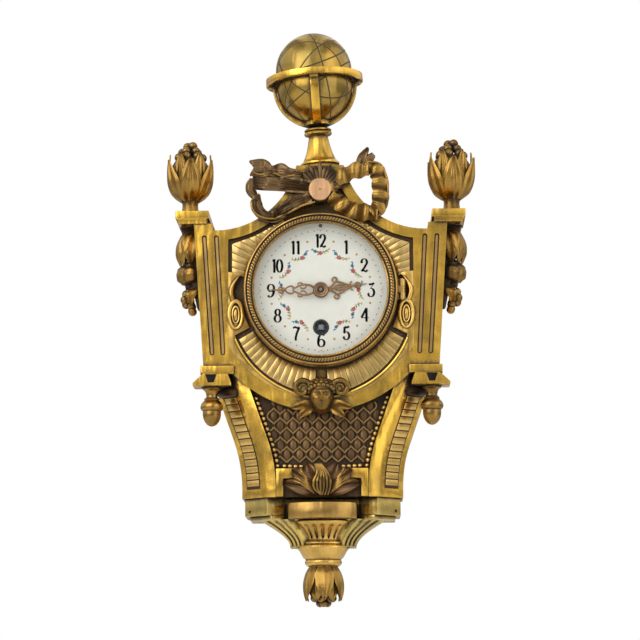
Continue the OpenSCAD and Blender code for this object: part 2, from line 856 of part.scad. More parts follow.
module ribbon_bow() {
    color("#6d4f2a") at_dial() difference() {
        union() {
            ribbon([[-4, 63], [-14, 70.5], [-24, 74], [-34, 76.2], [-42, 77.5]], [5, 7, 9, 9, 5], y_frame, 4.5);
            ribbon([[-4, 62], [-22, 66], [-34, 68.3], [-41, 66]], [4, 5, 5, 4.5], y_frame, 4);
            ribbon([[-41, 66], [-41.6, 59], [-40, 52], [-36, 46.5], [-30, 44.8]], [4.5, 4, 4, 5, 5], y_frame, 4);
            ribbon([[-30, 45], [-18.5, 51.5], [-8, 57]], [5, 8, 6], y_frame, 3.5);
            ribbon([[4, 63], [13.6, 69.1], [22, 73.4], [30, 75]], [6, 8, 8, 8], y_frame, 4.5);
            ribbon([[30, 75], [36, 70.5], [37, 62], [36, 54], [33, 48.8], [26, 47.8]], [8, 8.5, 9, 9, 8.5, 7], y_frame, 4.5);
            ribbon([[26, 47.8], [16, 52], [7, 57.5]], [7, 8, 6], y_frame, 3.5);
            ribbon([[25, 75], [28, 86]], [5, 3.5], y_frame, 3);
            ribbon([[30, 77], [32.5, 82]], [4, 3], y_frame, 3);
            translate([0, y_frame, boss_z]) rotate([90, 0, 0]) cylinder(r = boss_r + 1, h = 5.5, $fn = 24);
        }
        behind(y_frame);
    }
}

module bow_boss() {
    y = y_frame - 5.5;
    color(copper) at_dial() difference() {
        shaft([0, boss_z], y, y - 1.6, boss_r);
        shaft([0, boss_z], y - 1, y - 2, 0.6);
    }
}

rosette_x = 51.4;

module side_rosettes() {
    color(dark_gilt) at_dial() both_sides() difference() {
        union() {
            for (k = [0 : 7])
                stroke(
                    [[rosette_x, y_floor - 1.2, -19], [rosette_x + 2.2 * cos(45 * k), y_floor - 1.6, -19 + 4.4 * sin(45 * k)],
                        [rosette_x + 3.2 * cos(45 * k), y_floor - 0.6, -19 + 6.4 * sin(45 * k)]],
                    [1.6, 1.3, 0.6]
                );
            translate([rosette_x, y_floor - 2, -19]) sphere(1.8, $fn = 8);
        }
        behind(y_floor);
    }
}

module hanging_plate() {
    color(brass) at_dial() difference() {
        slab(0, strap_t) intersection() {
            case_outline(case_wall + fit);
            translate([-20, eye_rise - 7]) square([40, 14]);
        }
        shaft([0, eye_rise], 1, -strap_t - 1, eye_r);
        both_sides() {
            shaft(strap_at, 1, -strap_t - 1, screw_r + running);
            shaft(strap_at, 1, -screw_head_t, screw_head_r + fit);
        }
    }
}

module bezel_seat() {
    color(brass) at_dial() difference() {
        union() {
            shaft(centre_at, y_floor, y_frame, flange_r);
            shaft(centre_at, y_frame, y_lip, lip_in + lip_t);
            shaft(centre_at, y_plate, y_floor, tube_r);
            for (s = [-1, 1])
                translate([0, 0, s > 0 ? knuckle_h / 2 : -knuckle_h * 1.5]) {
                    translate([bezel_r - 1, y_lip, 0]) cube([hinge_x - bezel_r + 1 + knuckle_r, y_floor - y_lip, knuckle_h]);
                    translate([hinge_x, hinge_y, 0]) cylinder(r = knuckle_r, h = knuckle_h);
                    translate([hinge_x - 1, hinge_y, 0]) cube([2, y_lip - hinge_y, knuckle_h]);
                }
        }
        shaft(centre_at, y_frame, y_lip - 1, lip_in);
        shaft(centre_at, y_floor, y_frame - 1, tube_in);
        shaft(centre_at, y_plate + 1, y_web, plate_r + fit);
        shaft(centre_at, y_web + eps, y_floor - eps, web_in);
        shaft(rate_at, y_plate + 1, y_frame - 1, rate_r + running);
        for (a = [0 : 90 : 270])
            shaft(polar(web_screw_r, a), y_web + 1, y_floor - 1, screw_r + running);
        for (a = [45 : 90 : 315])
            shaft(polar(flange_screw_r, a), y_floor + 1, y_plate - screw_len, screw_r + running);
        translate([hinge_x, hinge_y, -20]) cylinder(r = hinge_pin_r + running, h = 40);
    }
}

// A cheese-head screw with its head at y_head, driven towards the front or the wall
module screw(p, y_head, forward) {
    head_front = forward ? y_head : y_head - screw_head_t;
    tip = forward ? y_head - screw_len : y_head;
    difference() {
        union() {
            shaft(p, head_front + screw_head_t, head_front, screw_head_r);
            shaft(p, tip + screw_len, tip, screw_r);
        }
        translate([p.x - screw_head_r, forward ? y_head + screw_head_t - 0.6 : y_head - screw_head_t - 1, p.y - 0.25])
            cube([2 * screw_head_r, 1.6, 0.5]);
    }
}

module seat_screws() {
    color(steel) at_dial() {
        for (a = [0 : 90 : 270]) screw(polar(web_screw_r, a), y_floor, false);
        for (a = [45 : 90 : 315]) screw(polar(flange_screw_r, a), y_plate, true);
        both_sides() screw(strap_at, -screw_head_t, true);
    }
}

module dial() {
    color("#f4f3ee") at_dial() difference() {
        shaft(centre_at, y_frame, y_dial, dial_r);
        shaft(centre_at, y_frame + 1, y_dial - 1, 3.2);
        shaft(barrel_at, y_frame + 1, y_dial - 1, grommet_tube + running);
        shaft(rate_at, y_frame + 1, y_dial - 1, rate_r + fit);
    }
}

module winding_grommet() {
    color("#3a3430") at_dial() difference() {
        union() {
            shaft(barrel_at, y_dial, y_dial - 0.5, grommet_r);
            shaft(barrel_at, y_frame, y_dial, grommet_tube);
        }
        shaft(barrel_at, y_frame + 1, y_dial - 1, grommet_in);
    }
}

module plate_bores(y) {
    shaft(second_at, y + 1, y - plate_t - 1, pivot_r + running);
    shaft(third_at, y + 1, y - plate_t - 1, pivot_r + running);
    shaft(escape_at, y + 1, y - plate_t - 1, pivot_r + running);
}

module front_plate() {
    color(brass) at_dial() difference() {
        union() {
            shaft(centre_at, y_plate, y_web, plate_r);
            shaft(minute_at, y_web, y_web - 3.6, stud_r);
            shaft(click_at, y_web, y_web - 2.6, stud_r);
        }
        plate_bores(y_plate);
        shaft(centre_at, y_plate + 1, y_web - 1, centre_r + running);
        shaft(barrel_at, y_plate + 1, y_web - 1, winding_r + running);
        shaft(pallet_at, y_plate + 1, y_web - 1, pivot_r + running);
        for (a = [0 : 90 : 270])
            shaft(polar(web_screw_r, a), y_plate + 1, y_web - 1, screw_r + running);
        for (a = [45 : 90 : 315])
            shaft(polar(pillar_at, a), y_plate + 1, y_web - 1, tenon_r + running);
    }
}

module back_plate() {
    color(brass) at_dial() difference() {
        union() {
            shaft(centre_at, y_rear, y_back, plate_r);
            slab(y_rear, plate_t) translate([-4, plate_r - 6]) square([8, rate_rise + 3 - plate_r + 6]);
        }
        plate_bores(y_rear);
        shaft(centre_at, y_rear + 1, y_back - 1, centre_r + running);
        shaft(barrel_at, y_rear + 1, y_back - 1, winding_pivot_r + running);
        shaft(pallet_at, y_rear + 1, y_back - 1, 3);
        shaft(rate_at, y_rear + 1, y_back - 1, rate_r + running);
        for (a = [45 : 90 : 315])
            shaft(polar(pillar_at, a), y_rear + 1, y_back - 1, tenon_r + running);
    }
}

module plate_pillars() {
    color(brass) at_dial() for (a = [45 : 90 : 315]) {
        shaft(polar(pillar_at, a), y_back, y_plate, pillar_r);
        shaft(polar(pillar_at, a), y_rear + 1, y_web, tenon_r);
    }
}

module pallet_cock() {
    color(brass) at_dial() difference() {
        union() {
            both_sides() shaft([9, pallet_at.y + 5], y_cock, y_rear, 2.2);
            slab(y_cock + cock_t, cock_t)
                polygon([[-4, pallet_at.y - 3], [4, pallet_at.y - 3], [12, pallet_at.y + 3], [12, pallet_at.y + 8],
                    [-12, pallet_at.y + 8], [-12, pallet_at.y + 3]]);
            translate([-3, y_cock + cock_t, chop_z]) cube([6, chop_d, 6]);
        }
        shaft(pallet_at, y_cock + cock_t + 1, y_cock - 1, pivot_r + running);
        translate([-spring_w / 2 - 0.1, y_swing - strip_t / 2 - 0.05, chop_z - 1])
            cube([spring_w + 0.2, strip_t + 0.1, 5]);
    }
}

ratchet_n = 24;
ratchet_r = 6;
ratchet_root = 5.1;
ratchet_t = 1.6;
y_ratchet = y_web - 0.4;

module ratchet_wheel() {
    color(steel) at_dial() disc(barrel_at, y_ratchet, ratchet_t) difference() {
        polygon([for (i = [0 : ratchet_n - 1], r = [ratchet_r, ratchet_root]) polar(r, 360 / ratchet_n * i)]);
        square(square_w + 2 * running, center = true);
    }
}

// The nose rests just after the radial face of the tooth at 90 degrees
nose_at = barrel_at + polar(ratchet_root + 0.45, 93);

module click() {
    boss = 1.9;
    heel = barrel_at + polar(ratchet_r + 0.9, 106);
    color(steel) at_dial() disc([0, 0], y_ratchet, ratchet_t) difference() {
        union() {
            translate(click_at) circle(boss);
            polygon([
                nose_at, nose_at + [0, 2.2], click_at + [0, boss], click_at + [0, -boss], heel
            ]);
        }
        translate(click_at) circle(stud_r + running);
    }
}

module click_spring() {
    foot = click_at + [-4, 9];
    blade_end = nose_at + [-3, 3.4];
    color(steel) at_dial() {
        slab(y_web, ratchet_t) polygon([
            foot + [-1.6, -1.6], foot + [1.6, -1.6], foot + [1.6, 1.6], foot + [-1.6, 1.6]
        ]);
        slab(y_web, ratchet_t) polygon([
            foot + [1.4, -1.2], foot + [1.4, 0], blade_end + [0, 0.5], blade_end
        ]);
    }
}

// The bezel's turned section as [radius, depth] pairs
module bezel_rim() {
    color(gilt) at_dial() difference() {
        union() {
            rotate([90, 0, 0]) rotate_extrude() polygon([
                [view_r, -y_glass], [view_r, -y_bezel - 1.2], [view_r + 1, -y_bezel - 0.6], [view_r + 2.2, -y_bezel - 1.4],
                [view_r + 3, -y_bezel - 0.2], [view_r + 4.4, -y_bezel], [bezel_r - 0.8, -y_bezel - 1.4],
                [bezel_r, -y_bezel - 3.2], [bezel_r, -y_door], [rebate_r, -y_door], [rebate_r, -y_glass]
            ]);
            translate([hinge_x, hinge_y, -knuckle_h / 2 + 0.1]) cylinder(r = knuckle_r, h = knuckle_h - 0.2);
            translate([bezel_r - 2, hinge_y - knuckle_r, -knuckle_h / 2 + 0.1])
                cube([hinge_x - bezel_r + 2, knuckle_r, knuckle_h - 0.2]);
        }
        translate([hinge_x, hinge_y, -20]) cylinder(r = hinge_pin_r + running, h = 40);
    }
}

module bezel_glass() {
    color("lightcyan") at_dial() shaft(centre_at, y_glass + glass_t, y_glass, rebate_r - 0.05);
}

module bezel_hinge_pin() {
    color(brass) at_dial() translate([hinge_x, hinge_y, -knuckle_h * 1.5 - 0.6])
        cylinder(r = hinge_pin_r, h = knuckle_h * 3 + 1.2);
}

module barrel() {
    y = y_plate + t_great_wheel + 1.5;
    color(brass) at_dial() difference() {
        union() {
            disc(barrel_at, y, 1.5) wheel_teeth(great_n, great_m, 0);
            shaft(barrel_at, y, y_plate + t_barrel, drum_r);
        }
        shaft(barrel_at, y - 1.5, y_plate + t_barrel - 1, drum_r - drum_wall);
        shaft(barrel_at, y + 1, y_plate, winding_r + running);
    }
}

module mainspring() {
    r_in = winding_r + 0.6;
    r_out = drum_r - drum_wall - 0.3;
    steps = 24 * spring_turns;
    pitch = (r_out - spring_t - r_in) / spring_turns;
    edge = [for (i = [0 : steps]) [r_in + pitch * i / 24, 15 * i]];
    color(steel) at_dial() disc(barrel_at, y_plate + t_great_wheel - 0.5, 8.5) polygon(concat(
        [for (p = edge) polar(p.x, p.y)],
        [for (i = [steps : -1 : 0]) polar(edge[i].x + spring_t, edge[i].y)]
    ));
}

module winding_arbor() {
    y_collar = y_plate + t_great_wheel + 2;
    color(steel) at_dial() {
        shaft(barrel_at, y_rear, y_collar, winding_pivot_r);
        shaft(barrel_at, y_collar, y_ratchet, winding_r);
        disc(barrel_at, y_ratchet, y_ratchet - y_dial + 0.2) square(square_w, center = true);
    }
}

module arbor_pivots(p) {
    shaft(p, y_rear, y_plate - plate_t, pivot_r);
}

module intermediate_wheel() {
    color(brass) at_dial() disc(second_at, y_plate + t_second_wheel + wheel_t, wheel_t)
        crossed_wheel(second_n, second_m, 0, pivot_r, 4);
}

module intermediate_pinion() {
    color(steel) at_dial() {
        arbor_pivots(second_at);
        disc(second_at, y_plate + t_great_wheel + 2.2, 2.8)
            pinion_leaves(second_p, great_m, mesh_phase(bearing(barrel_at, second_at), 0, great_n, second_p));
    }
}

module center_wheel() {
    color(brass) at_dial() disc(centre_at, y_plate + t_centre_wheel + wheel_t, wheel_t)
        crossed_wheel(centre_n, centre_m, 0, centre_r, 4);
}

module center_arbor() {
    color(steel) at_dial() {
        shaft(centre_at, y_rear, y_dial - 4.6, centre_r);
        disc(centre_at, y_plate + t_second_wheel + 1.6, 2.2)
            pinion_leaves(centre_p, second_m, mesh_phase(bearing(second_at, centre_at), 0, second_n, centre_p));
    }
}

pipe_r = 1.6;
hour_pipe_in = pipe_r + 0.1;
hour_pipe_r = 2.5;
y_cannon = y_web - 0.3;
y_hour_hand = y_dial - 1.2;
y_minute_hand = y_dial - 2.5;
hand_t = 0.5;

module cannon_pinion() {
    color(steel) at_dial() difference() {
        union() {
            disc(centre_at, y_cannon, 1.4) pinion_leaves(cannon_n, motion_m, 0);
            shaft(centre_at, y_cannon, y_minute_hand, pipe_r);
        }
        shaft(centre_at, y_cannon + 1, y_minute_hand - 1, centre_r);
    }
}

module minute_wheel() {
    theta = bearing(centre_at, minute_at);
    y = y_cannon - 0.2;
    color(brass) at_dial() difference() {
        union() {
            disc(minute_at, y, 1) wheel_teeth(minute_n, motion_m, mesh_phase(theta, 0, cannon_n, minute_n));
            disc(minute_at, y - 1, 1.6) pinion_leaves(minute_p, motion_m, 0);
        }
        shaft(minute_at, y + 1, y - 4, stud_r + running);
    }
}

module hour_wheel() {
    theta = bearing(minute_at, centre_at);
    y = y_cannon - 1.6;
    color(brass) at_dial() difference() {
        union() {
            disc(centre_at, y, 0.9) wheel_teeth(hour_n, motion_m, mesh_phase(theta, 0, minute_p, hour_n));
            shaft(centre_at, y, y_hour_hand, hour_pipe_r);
        }
        shaft(centre_at, y + 1, y_hour_hand - 1, hour_pipe_in);
    }
}

// A pierced scroll hand that points along +x
module hand(length, bore, lobe) {
    u = length / 32;
    difference() {
        union() {
            circle(bore + 2.2);
            translate([bore + 1, -0.7]) square([length * 0.55, 1.4]);
            for (s = [-1, 1]) {
                translate([9 * u, s * lobe]) circle(lobe);
                translate([14 * u, s * lobe]) circle(lobe * 0.9);
                translate([22 * u, s * lobe * 0.8]) circle(lobe * 0.7);
            }
            translate([19 * u, 0]) circle(lobe * 1.15);
            polygon([[18 * u, -1.1], [length, -0.2], [length, 0.2], [18 * u, 1.1]]);
        }
        circle(bore);
        for (s = [-1, 1]) {
            translate([9 * u, s * lobe * 1.1]) circle(lobe * 0.45);
            translate([14 * u, s * lobe * 1.1]) circle(lobe * 0.4);
        }
        translate([19 * u, 0]) circle(lobe * 0.5);
    }
}

module minute_hand() {
    color(copper) at_dial() disc(centre_at, y_minute_hand, hand_t) rotate(180) hand(minute_len, centre_r, 1.6);
}

module hour_hand() {
    color(copper) at_dial() disc(centre_at, y_hour_hand + hand_t, hand_t)
        rotate(7.5) hand(hour_len, hour_pipe_r, 2);
}

module hand_nut() {
    y = y_minute_hand - hand_t;
    color(copper) at_dial() difference() {
        union() {
            shaft(centre_at, y, y - 0.6, collet_r);
            shaft(centre_at, y - 0.6, y - 1.4, 1.9);
        }
        shaft(centre_at, y + 1, y - 3, centre_r);
    }
}

module third_wheel() {
    color(brass) at_dial() disc(third_at, y_plate + t_third_wheel + wheel_t, wheel_t)
        crossed_wheel(third_n, third_m, 0, pivot_r, 4);
}

module third_pinion() {
    color(steel) at_dial() {
        arbor_pivots(third_at);
        disc(third_at, y_plate + t_centre_wheel + 2, 2.5)
            pinion_leaves(third_p, centre_m, mesh_phase(bearing(centre_at, third_at), 0, centre_n, third_p));
    }
}

module escape_wheel() {
    color(brass) at_dial() disc(escape_at, y_plate + t_escape_wheel + 0.8, 0.8) difference() {
        polygon([for (i = [0 : escape_n - 1], k = [[0, 0.1], [escape_depth, 0.3], [escape_depth, 0.9]])
            polar(escape_r - k.x, 360 / escape_n * (i + k.y))]);
        difference() {
            circle(escape_r - escape_depth - 1);
            circle(pivot_r + 1.2);
            for (i = [0 : 3])
                rotate(90 * i) translate([0, -0.5]) square([escape_r - 2, 1]);
        }
        circle(pivot_r);
    }
}

module escape_pinion() {
    color(steel) at_dial() {
        arbor_pivots(escape_at);
        disc(escape_at, y_plate + t_third_wheel + 2, 3)
            pinion_leaves(escape_p, third_m, mesh_phase(bearing(third_at, escape_at), 0, third_n, escape_p));
    }
}

module pallets() {
    anchor_in = escape_r + 0.55;
    y_anchor = y_plate + t_escape_wheel + 1;
    y_crutch = y_rear + 1.8;
    color(steel) at_dial() {
        shaft(pallet_at, y_cock + cock_t, y_web, pivot_r);
        disc(escape_at, y_anchor, 1.2) intersection() {
            difference() {
                circle(anchor_in + 2);
                circle(anchor_in);
            }
            polygon([[0, 0], polar(30, 52), polar(30, 128)]);
        }
        disc(pallet_at, y_anchor + 1, 3) circle(1);
        slab(y_crutch, 0.8) polygon([
            [-0.9, pallet_at.y + 1.2], [0.9, pallet_at.y + 1.2], [0.8, fork_z - 1], [-0.8, fork_z - 1]
        ]);
        shaft([0, fork_z], y_swing + 1.2, y_crutch - 0.8, crutch_pin_r);
    }
}

module suspension_spring() {
    color(steel) at_dial() translate([-spring_w / 2, y_swing - strip_t / 2, strip_end])
        cube([spring_w, strip_t, chop_z - pass - strip_end]);
}

module pendulum_rod() {
    foot = bob_z - bob_r - 2;
    color(steel) at_dial() difference() {
        union() {
            translate([0, y_swing, foot]) cylinder(r = rod_r, h = rod_top - foot);
            translate([-2.4, y_swing - 1.2, strip_end - 1]) cube([4.8, 2.4, rod_top - strip_end + 1]);
            translate([-2.2, y_swing - 1.3, fork_z - 4]) cube([4.4, 2.6, 8]);
        }
        translate([-spring_w / 2 - running, y_swing - strip_t / 2 - running, strip_end])
            cube([spring_w + 2 * running, strip_t + 2 * running, 10]);
        translate([-crutch_pin_r - 0.1, y_swing - 3, fork_z - 2.6]) cube([2 * crutch_pin_r + 0.2, 6, 5.2]);
    }
}

module pendulum_bob() {
    color(brass) at_dial() translate([0, y_swing, bob_z]) difference() {
        rotate([90, 0, 0]) rotate_extrude() polygon([
            [0, -bob_t / 2], [bob_r * 0.6, -bob_t / 2 + 1], [bob_r, -1.4], [bob_r, 1.4],
            [bob_r * 0.6, bob_t / 2 - 1], [0, bob_t / 2]
        ]);
        translate([0, 0, -bob_r - 1]) cylinder(r = rod_r + running, h = 2 * bob_r + 2);
    }
}

module rate_arbor() {
    color(steel) at_dial() {
        shaft(rate_at, y_rear + 1.8, y_dial + 0.4, rate_r);
        disc(rate_at, y_dial + 0.4, 1.2) square(1.1, center = true);
        disc(rate_at, y_rear + 1.6, 1.3) pinion_leaves(12, 0.35, 0);
    }
}

upper_case();
waist_case();
console_left();
console_right();
lattice_panel();
bead_edging();
leaf_spray();
horned_mask();
base_bracket();
fluted_cup();
drop_bud();
finial_left();
finial_right();
garland_left();
garland_right();
acorn_left();
acorn_right();
globe();
globe_cradle();
globe_stem();
ribbon_bow();
bow_boss();
side_rosettes();
hanging_plate();
bezel_seat();
seat_screws();
dial();
winding_grommet();
front_plate();
back_plate();
plate_pillars();
pallet_cock();
click_spring();
bezel_rim();
bezel_glass();
bezel_hinge_pin();
barrel();
mainspring();
winding_arbor();
ratchet_wheel();
click();
intermediate_wheel();
intermediate_pinion();
center_wheel();
center_arbor();
cannon_pinion();
minute_hand();
hand_nut();
third_wheel();
third_pinion();
escape_wheel();
escape_pinion();
pallets();
suspension_spring();
pendulum_rod();
pendulum_bob();
minute_wheel();
hour_wheel();
hour_hand();
rate_arbor();
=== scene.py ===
# %% [markdown]
# A small gilt cartel clock, dressed for its portrait. The CAD frame already holds every piece in its
# real place and size, down to the going train, so this lesson is about looks: the chased leaves, the
# ribbon, the painted dial, and gilding that has gone brown in its hollows.

# %% Load the frame
import math

import bmesh
import bpy
from mathutils import Matrix, Quaternion, Vector


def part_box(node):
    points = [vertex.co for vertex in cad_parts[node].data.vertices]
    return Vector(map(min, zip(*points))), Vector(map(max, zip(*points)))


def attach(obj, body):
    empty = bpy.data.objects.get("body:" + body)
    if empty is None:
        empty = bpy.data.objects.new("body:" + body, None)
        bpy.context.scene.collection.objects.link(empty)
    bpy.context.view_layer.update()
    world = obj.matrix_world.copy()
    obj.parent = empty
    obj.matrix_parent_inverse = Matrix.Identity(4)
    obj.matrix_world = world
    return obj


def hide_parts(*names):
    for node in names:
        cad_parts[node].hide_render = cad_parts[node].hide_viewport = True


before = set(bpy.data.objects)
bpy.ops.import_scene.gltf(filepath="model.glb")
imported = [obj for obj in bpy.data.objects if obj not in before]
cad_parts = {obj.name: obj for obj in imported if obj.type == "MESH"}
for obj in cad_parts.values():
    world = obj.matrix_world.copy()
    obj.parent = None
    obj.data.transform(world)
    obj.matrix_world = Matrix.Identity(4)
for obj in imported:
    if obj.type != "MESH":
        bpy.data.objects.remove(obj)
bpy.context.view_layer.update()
print("nodes", len(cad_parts))

# %% [markdown]
# The clock was measured in millimetres from the middle of its dial, so the shapes below are drawn that
# way and moved into the frame at the very end. That keeps every number one you could check with a ruler.

# %% Units and measured places
MM = 0.001
DIAL_DROP = 60.0
TO_FRAME = Matrix.Scale(MM, 4) @ Matrix.Translation((0, 0, -DIAL_DROP))
FRONT = -53.0
FLOOR = -50.0
CRESCENT_R = 72.6
FIELD_R = 65.0


def extent(node):
    """A node's lowest and highest corners, in millimetres from the dial's centre."""
    lift = Vector((0, 0, DIAL_DROP))
    low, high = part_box(node)
    return low / MM + lift, high / MM + lift


def middle(node):
    low, high = extent(node)
    return (low + high) / 2


print("dial face at", round(extent("dial")[0].y, 2))

# %% [markdown]
# The portrait was taken with a long lens from a little below the clock. A landmark fit gave the direction,
# the distance and the tilt of the camera; here they become a camera that looks at one point.

# %% Camera
def aim(item, place, target, roll=0.0):
    """Puts a camera or lamp at a place and turns it to a target."""
    look = (target - place).to_track_quat("-Z", "Y")
    item.location = place
    item.rotation_euler = (look @ Quaternion((0, 0, 1), roll)).to_euler()


YAW = math.radians(1.0)
PITCH = math.radians(8.0)
ROLL = math.radians(-0.37)
DISTANCE = 1500.0
FOCAL_PIXELS = 2493.0
target = Vector((-0.69, -50, -17.3))
towards = Vector((math.sin(YAW) * math.cos(PITCH), -math.cos(YAW) * math.cos(PITCH), -math.sin(PITCH)))
camera = bpy.data.objects.new("portrait_camera", bpy.data.cameras.new("portrait_camera"))
bpy.context.scene.collection.objects.link(camera)
camera.data.sensor_width = 36.0
camera.data.lens = FOCAL_PIXELS / 640 * camera.data.sensor_width
aim(camera, TO_FRAME @ (target + towards * DISTANCE), TO_FRAME @ target, ROLL)
bpy.context.scene.camera = camera
bpy.context.scene.view_settings.view_transform = "Standard"
print("lens", round(camera.data.lens, 1), "mm")

# %% [markdown]
# Shader sums read best as sums. This small class wraps a socket, so that `1 - hollow * 0.5` adds the Math
# nodes by itself, and one method adds any other node with its settings and its inputs.

# %% Shader arithmetic
class Wire:
    """A socket of a node tree that can be used in arithmetic."""

    def __init__(self, tree, socket):
        self.tree = tree
        self.socket = socket

    def node(self, kind, settings, inputs, out=0):
        made = self.tree.nodes.new(kind)
        for name, value in settings.items():
            setattr(made, name, value)
        for key, value in inputs.items():
            if isinstance(value, Wire):
                self.tree.links.new(value.socket, made.inputs[key])
            else:
                made.inputs[key].default_value = value
        return Wire(self.tree, made.outputs[out])

    def math(self, operation, first, second=0.0):
        return self.node("ShaderNodeMath", {"operation": operation}, {0: first, 1: second})

    def __add__(self, other):
        return self.math("ADD", self, other)

    def __sub__(self, other):
        return self.math("SUBTRACT", self, other)

    def __rsub__(self, other):
        return self.math("SUBTRACT", other, self)

    def __mul__(self, other):
        return self.math("MULTIPLY", self, other)

    __radd__ = __add__
    __rmul__ = __mul__

    def between(self, low, high):
        """0 below low, 1 above high, and a smooth step from one to the other."""
        return self.node(
            "ShaderNodeMapRange", {"interpolation_type": "SMOOTHSTEP"}, {"Value": self, 1: low, 2: high}
        )

    def blend(self, first, second):
        """A colour that goes from first to second as this value goes from 0 to 1."""
        settings = {"data_type": "RGBA", "clamp_factor": True}
        return self.node("ShaderNodeMix", settings, {0: self, 6: first, 7: second}, out=2)


def start_finish(name):
    """A new material: its shader node and the object coordinates to build on."""
    finish = bpy.data.materials.new(name)
    finish.use_nodes = True
    tree = finish.node_tree
    place = Wire(tree, tree.nodes.new("ShaderNodeTexCoord").outputs["Object"])
    return finish, tree.nodes["Principled BSDF"], place


def feed(shader, **values):
    """Sets or links the shader's sockets, named with _ for a space."""
    for name, value in values.items():
        socket = shader.inputs[name.replace("_", " ")]
        if isinstance(value, Wire):
            value.tree.links.new(value.socket, socket)
        else:
            socket.default_value = value


def noise(place, scale, detail=3.0, rough=0.55):
    return place.node(
        "ShaderNodeTexNoise", {}, {"Vector": place, "Scale": scale, "Detail": detail, "Roughness": rough}
    )


def bumped(place, height, strength, distance):
    return place.node("ShaderNodeBump", {}, {"Strength": strength, "Distance": distance, "Height": height})


print("shader helpers ready")

# %% [markdown]
# Old gilding is three things at once: gold that is rubbed bright on edges and high places, a tired olive
# tone on the flats, and brown in the hollows, which is partly patina and partly painted shade. Ambient
# occlusion measured on the piece itself finds the hollows, the same node turned inwards finds the edges,
# and noise keeps both from looking ruled.

# %% Gilding
# The brown of the hollows: patina, and painted shade as well.
PATINA_AND_SHADE_BROWN = (0.030, 0.017, 0.008, 1)


def gilding(name, gold, olive, dirt_and_shade, rough, hollow_mm=4.0, extra=None):
    finish, shader, place = start_finish(name)
    cloud = noise(place, 45, 4)
    speck = noise(place, 600, 3)
    pits = noise(place, 1500, 2)
    waves = noise(place, 85, 1)
    drawn_out = place.node("ShaderNodeMapping", {}, {"Vector": place, "Scale": (1.0, 1.0, 0.22)})
    streaks = noise(drawn_out, 120, 2)
    settings = {"samples": 6}
    # Painted shade with patina: ambient occlusion darkens the hollows towards brown in the base colour.
    open_air = place.node("ShaderNodeAmbientOcclusion", settings, {"Distance": hollow_mm * MM}, out=1)
    settings = {"samples": 4, "only_local": True, "inside": True}
    edge = place.node("ShaderNodeAmbientOcclusion", settings, {"Distance": 1.2 * MM}, out=1)
    worn = (1 - edge).between(0.35, 0.75)
    patina_and_shade = (1 - open_air) * 2.1 * dirt_and_shade + (speck - 0.5) * 0.5 * dirt_and_shade + (cloud - 0.55) * 0.6
    patina_and_shade = patina_and_shade.between(0.12, 0.72)
    patina_and_shade = patina_and_shade * (1 - worn * 0.7)
    if extra is not None:
        patina_and_shade = place.math("MAXIMUM", patina_and_shade, extra(place))
    metal = (cloud * 0.6 + streaks * 0.4).between(0.4, 0.62).blend(gold, olive)
    metal = (worn * 0.6).blend(metal, (min(gold[0] * 1.2, 1), gold[1] * 1.25, gold[2] * 1.4, 1))
    hand_work = bumped(place, waves * 0.5 + streaks * 0.7, 0.9, 1.1 * MM)
    relief = pits * 0.4 + speck * 0.6 + patina_and_shade * 0.8
    surface = {"Strength": 0.35, "Distance": 0.12 * MM, "Height": relief, "Normal": hand_work}
    feed(
        shader,
        Base_Color=patina_and_shade.blend(metal, PATINA_AND_SHADE_BROWN),
        Metallic=1 - patina_and_shade * 0.75,
        Roughness=(cloud - 0.5) * 0.16 + speck * 0.08 + patina_and_shade * 0.35 + rough,
        Normal=place.node("ShaderNodeBump", {}, surface),
    )
    return finish


def under_bow(place):
    """1 on the case between the bow and the bezel, where painted shade darkens the frame under the bow."""
    centre = tuple(TO_FRAME @ Vector((0, 0, 0)))
    local = place.node("ShaderNodeVectorMath", {"operation": "SUBTRACT"}, {0: place, 1: centre})
    split = local.node("ShaderNodeSeparateXYZ", {}, {0: local}).socket.node
    across, above = Wire(place.tree, split.outputs["X"]), Wire(place.tree, split.outputs["Z"])
    reach = place.math("SQRT", across * across + above * above)
    return (1 - reach.between(51 * MM, 58 * MM)) * above.between(28 * MM, 46 * MM) * 0.92


GOLD = (0.93, 0.55, 0.085, 1)
OLIVE = (0.54, 0.325, 0.06, 1)
gilt = gilding("gilt_polished", GOLD, OLIVE, 1.35, 0.2, 5.0)
# The frame's gilding, with painted shade between the bow and the bezel.
gilt_case_bow_shade = gilding("gilt_frame_bow_shade", GOLD, OLIVE, 1.35, 0.2, 6.0, under_bow)
gilt_turned = gilding("gilt_turned", (0.38, 0.22, 0.055, 1), (0.26, 0.155, 0.042, 1), 1.2, 0.22, 4.0)
gilt_cast = gilding("gilt_cast", (0.36, 0.20, 0.042, 1), (0.15, 0.086, 0.024, 1), 2.2, 0.24, 3.5)
gilt_dark = gilding("gilt_dark", (0.10, 0.058, 0.03, 1), (0.045, 0.026, 0.014, 1), 1.6, 0.36, 3.0)
gilt_brown = gilding("gilt_brown", (0.19, 0.112, 0.046, 1), (0.06, 0.036, 0.018, 1), 1.9, 0.27, 2.5)
gilt_wire = gilding("gilt_wire", (0.46, 0.28, 0.10, 1), (0.27, 0.16, 0.06, 1), 0.5, 0.3, 1.0)
gilt_net = gilding("gilt_net", (0.22, 0.125, 0.056, 1), (0.11, 0.062, 0.03, 1), 1.2, 0.36, 2.0)
gilt_warm = gilding("gilt_warm", (0.78, 0.49, 0.13, 1), (0.50, 0.31, 0.08, 1), 1.1, 0.24, 1.4)
gilt_pale = gilding("gilt_pale", (0.68, 0.48, 0.13, 1), (0.46, 0.345, 0.11, 1), 1.0, 0.22)
gilt_bezel = gilding("gilt_bezel", (0.52, 0.31, 0.085, 1), (0.36, 0.215, 0.06, 1), 1.3, 0.24, 2.0)
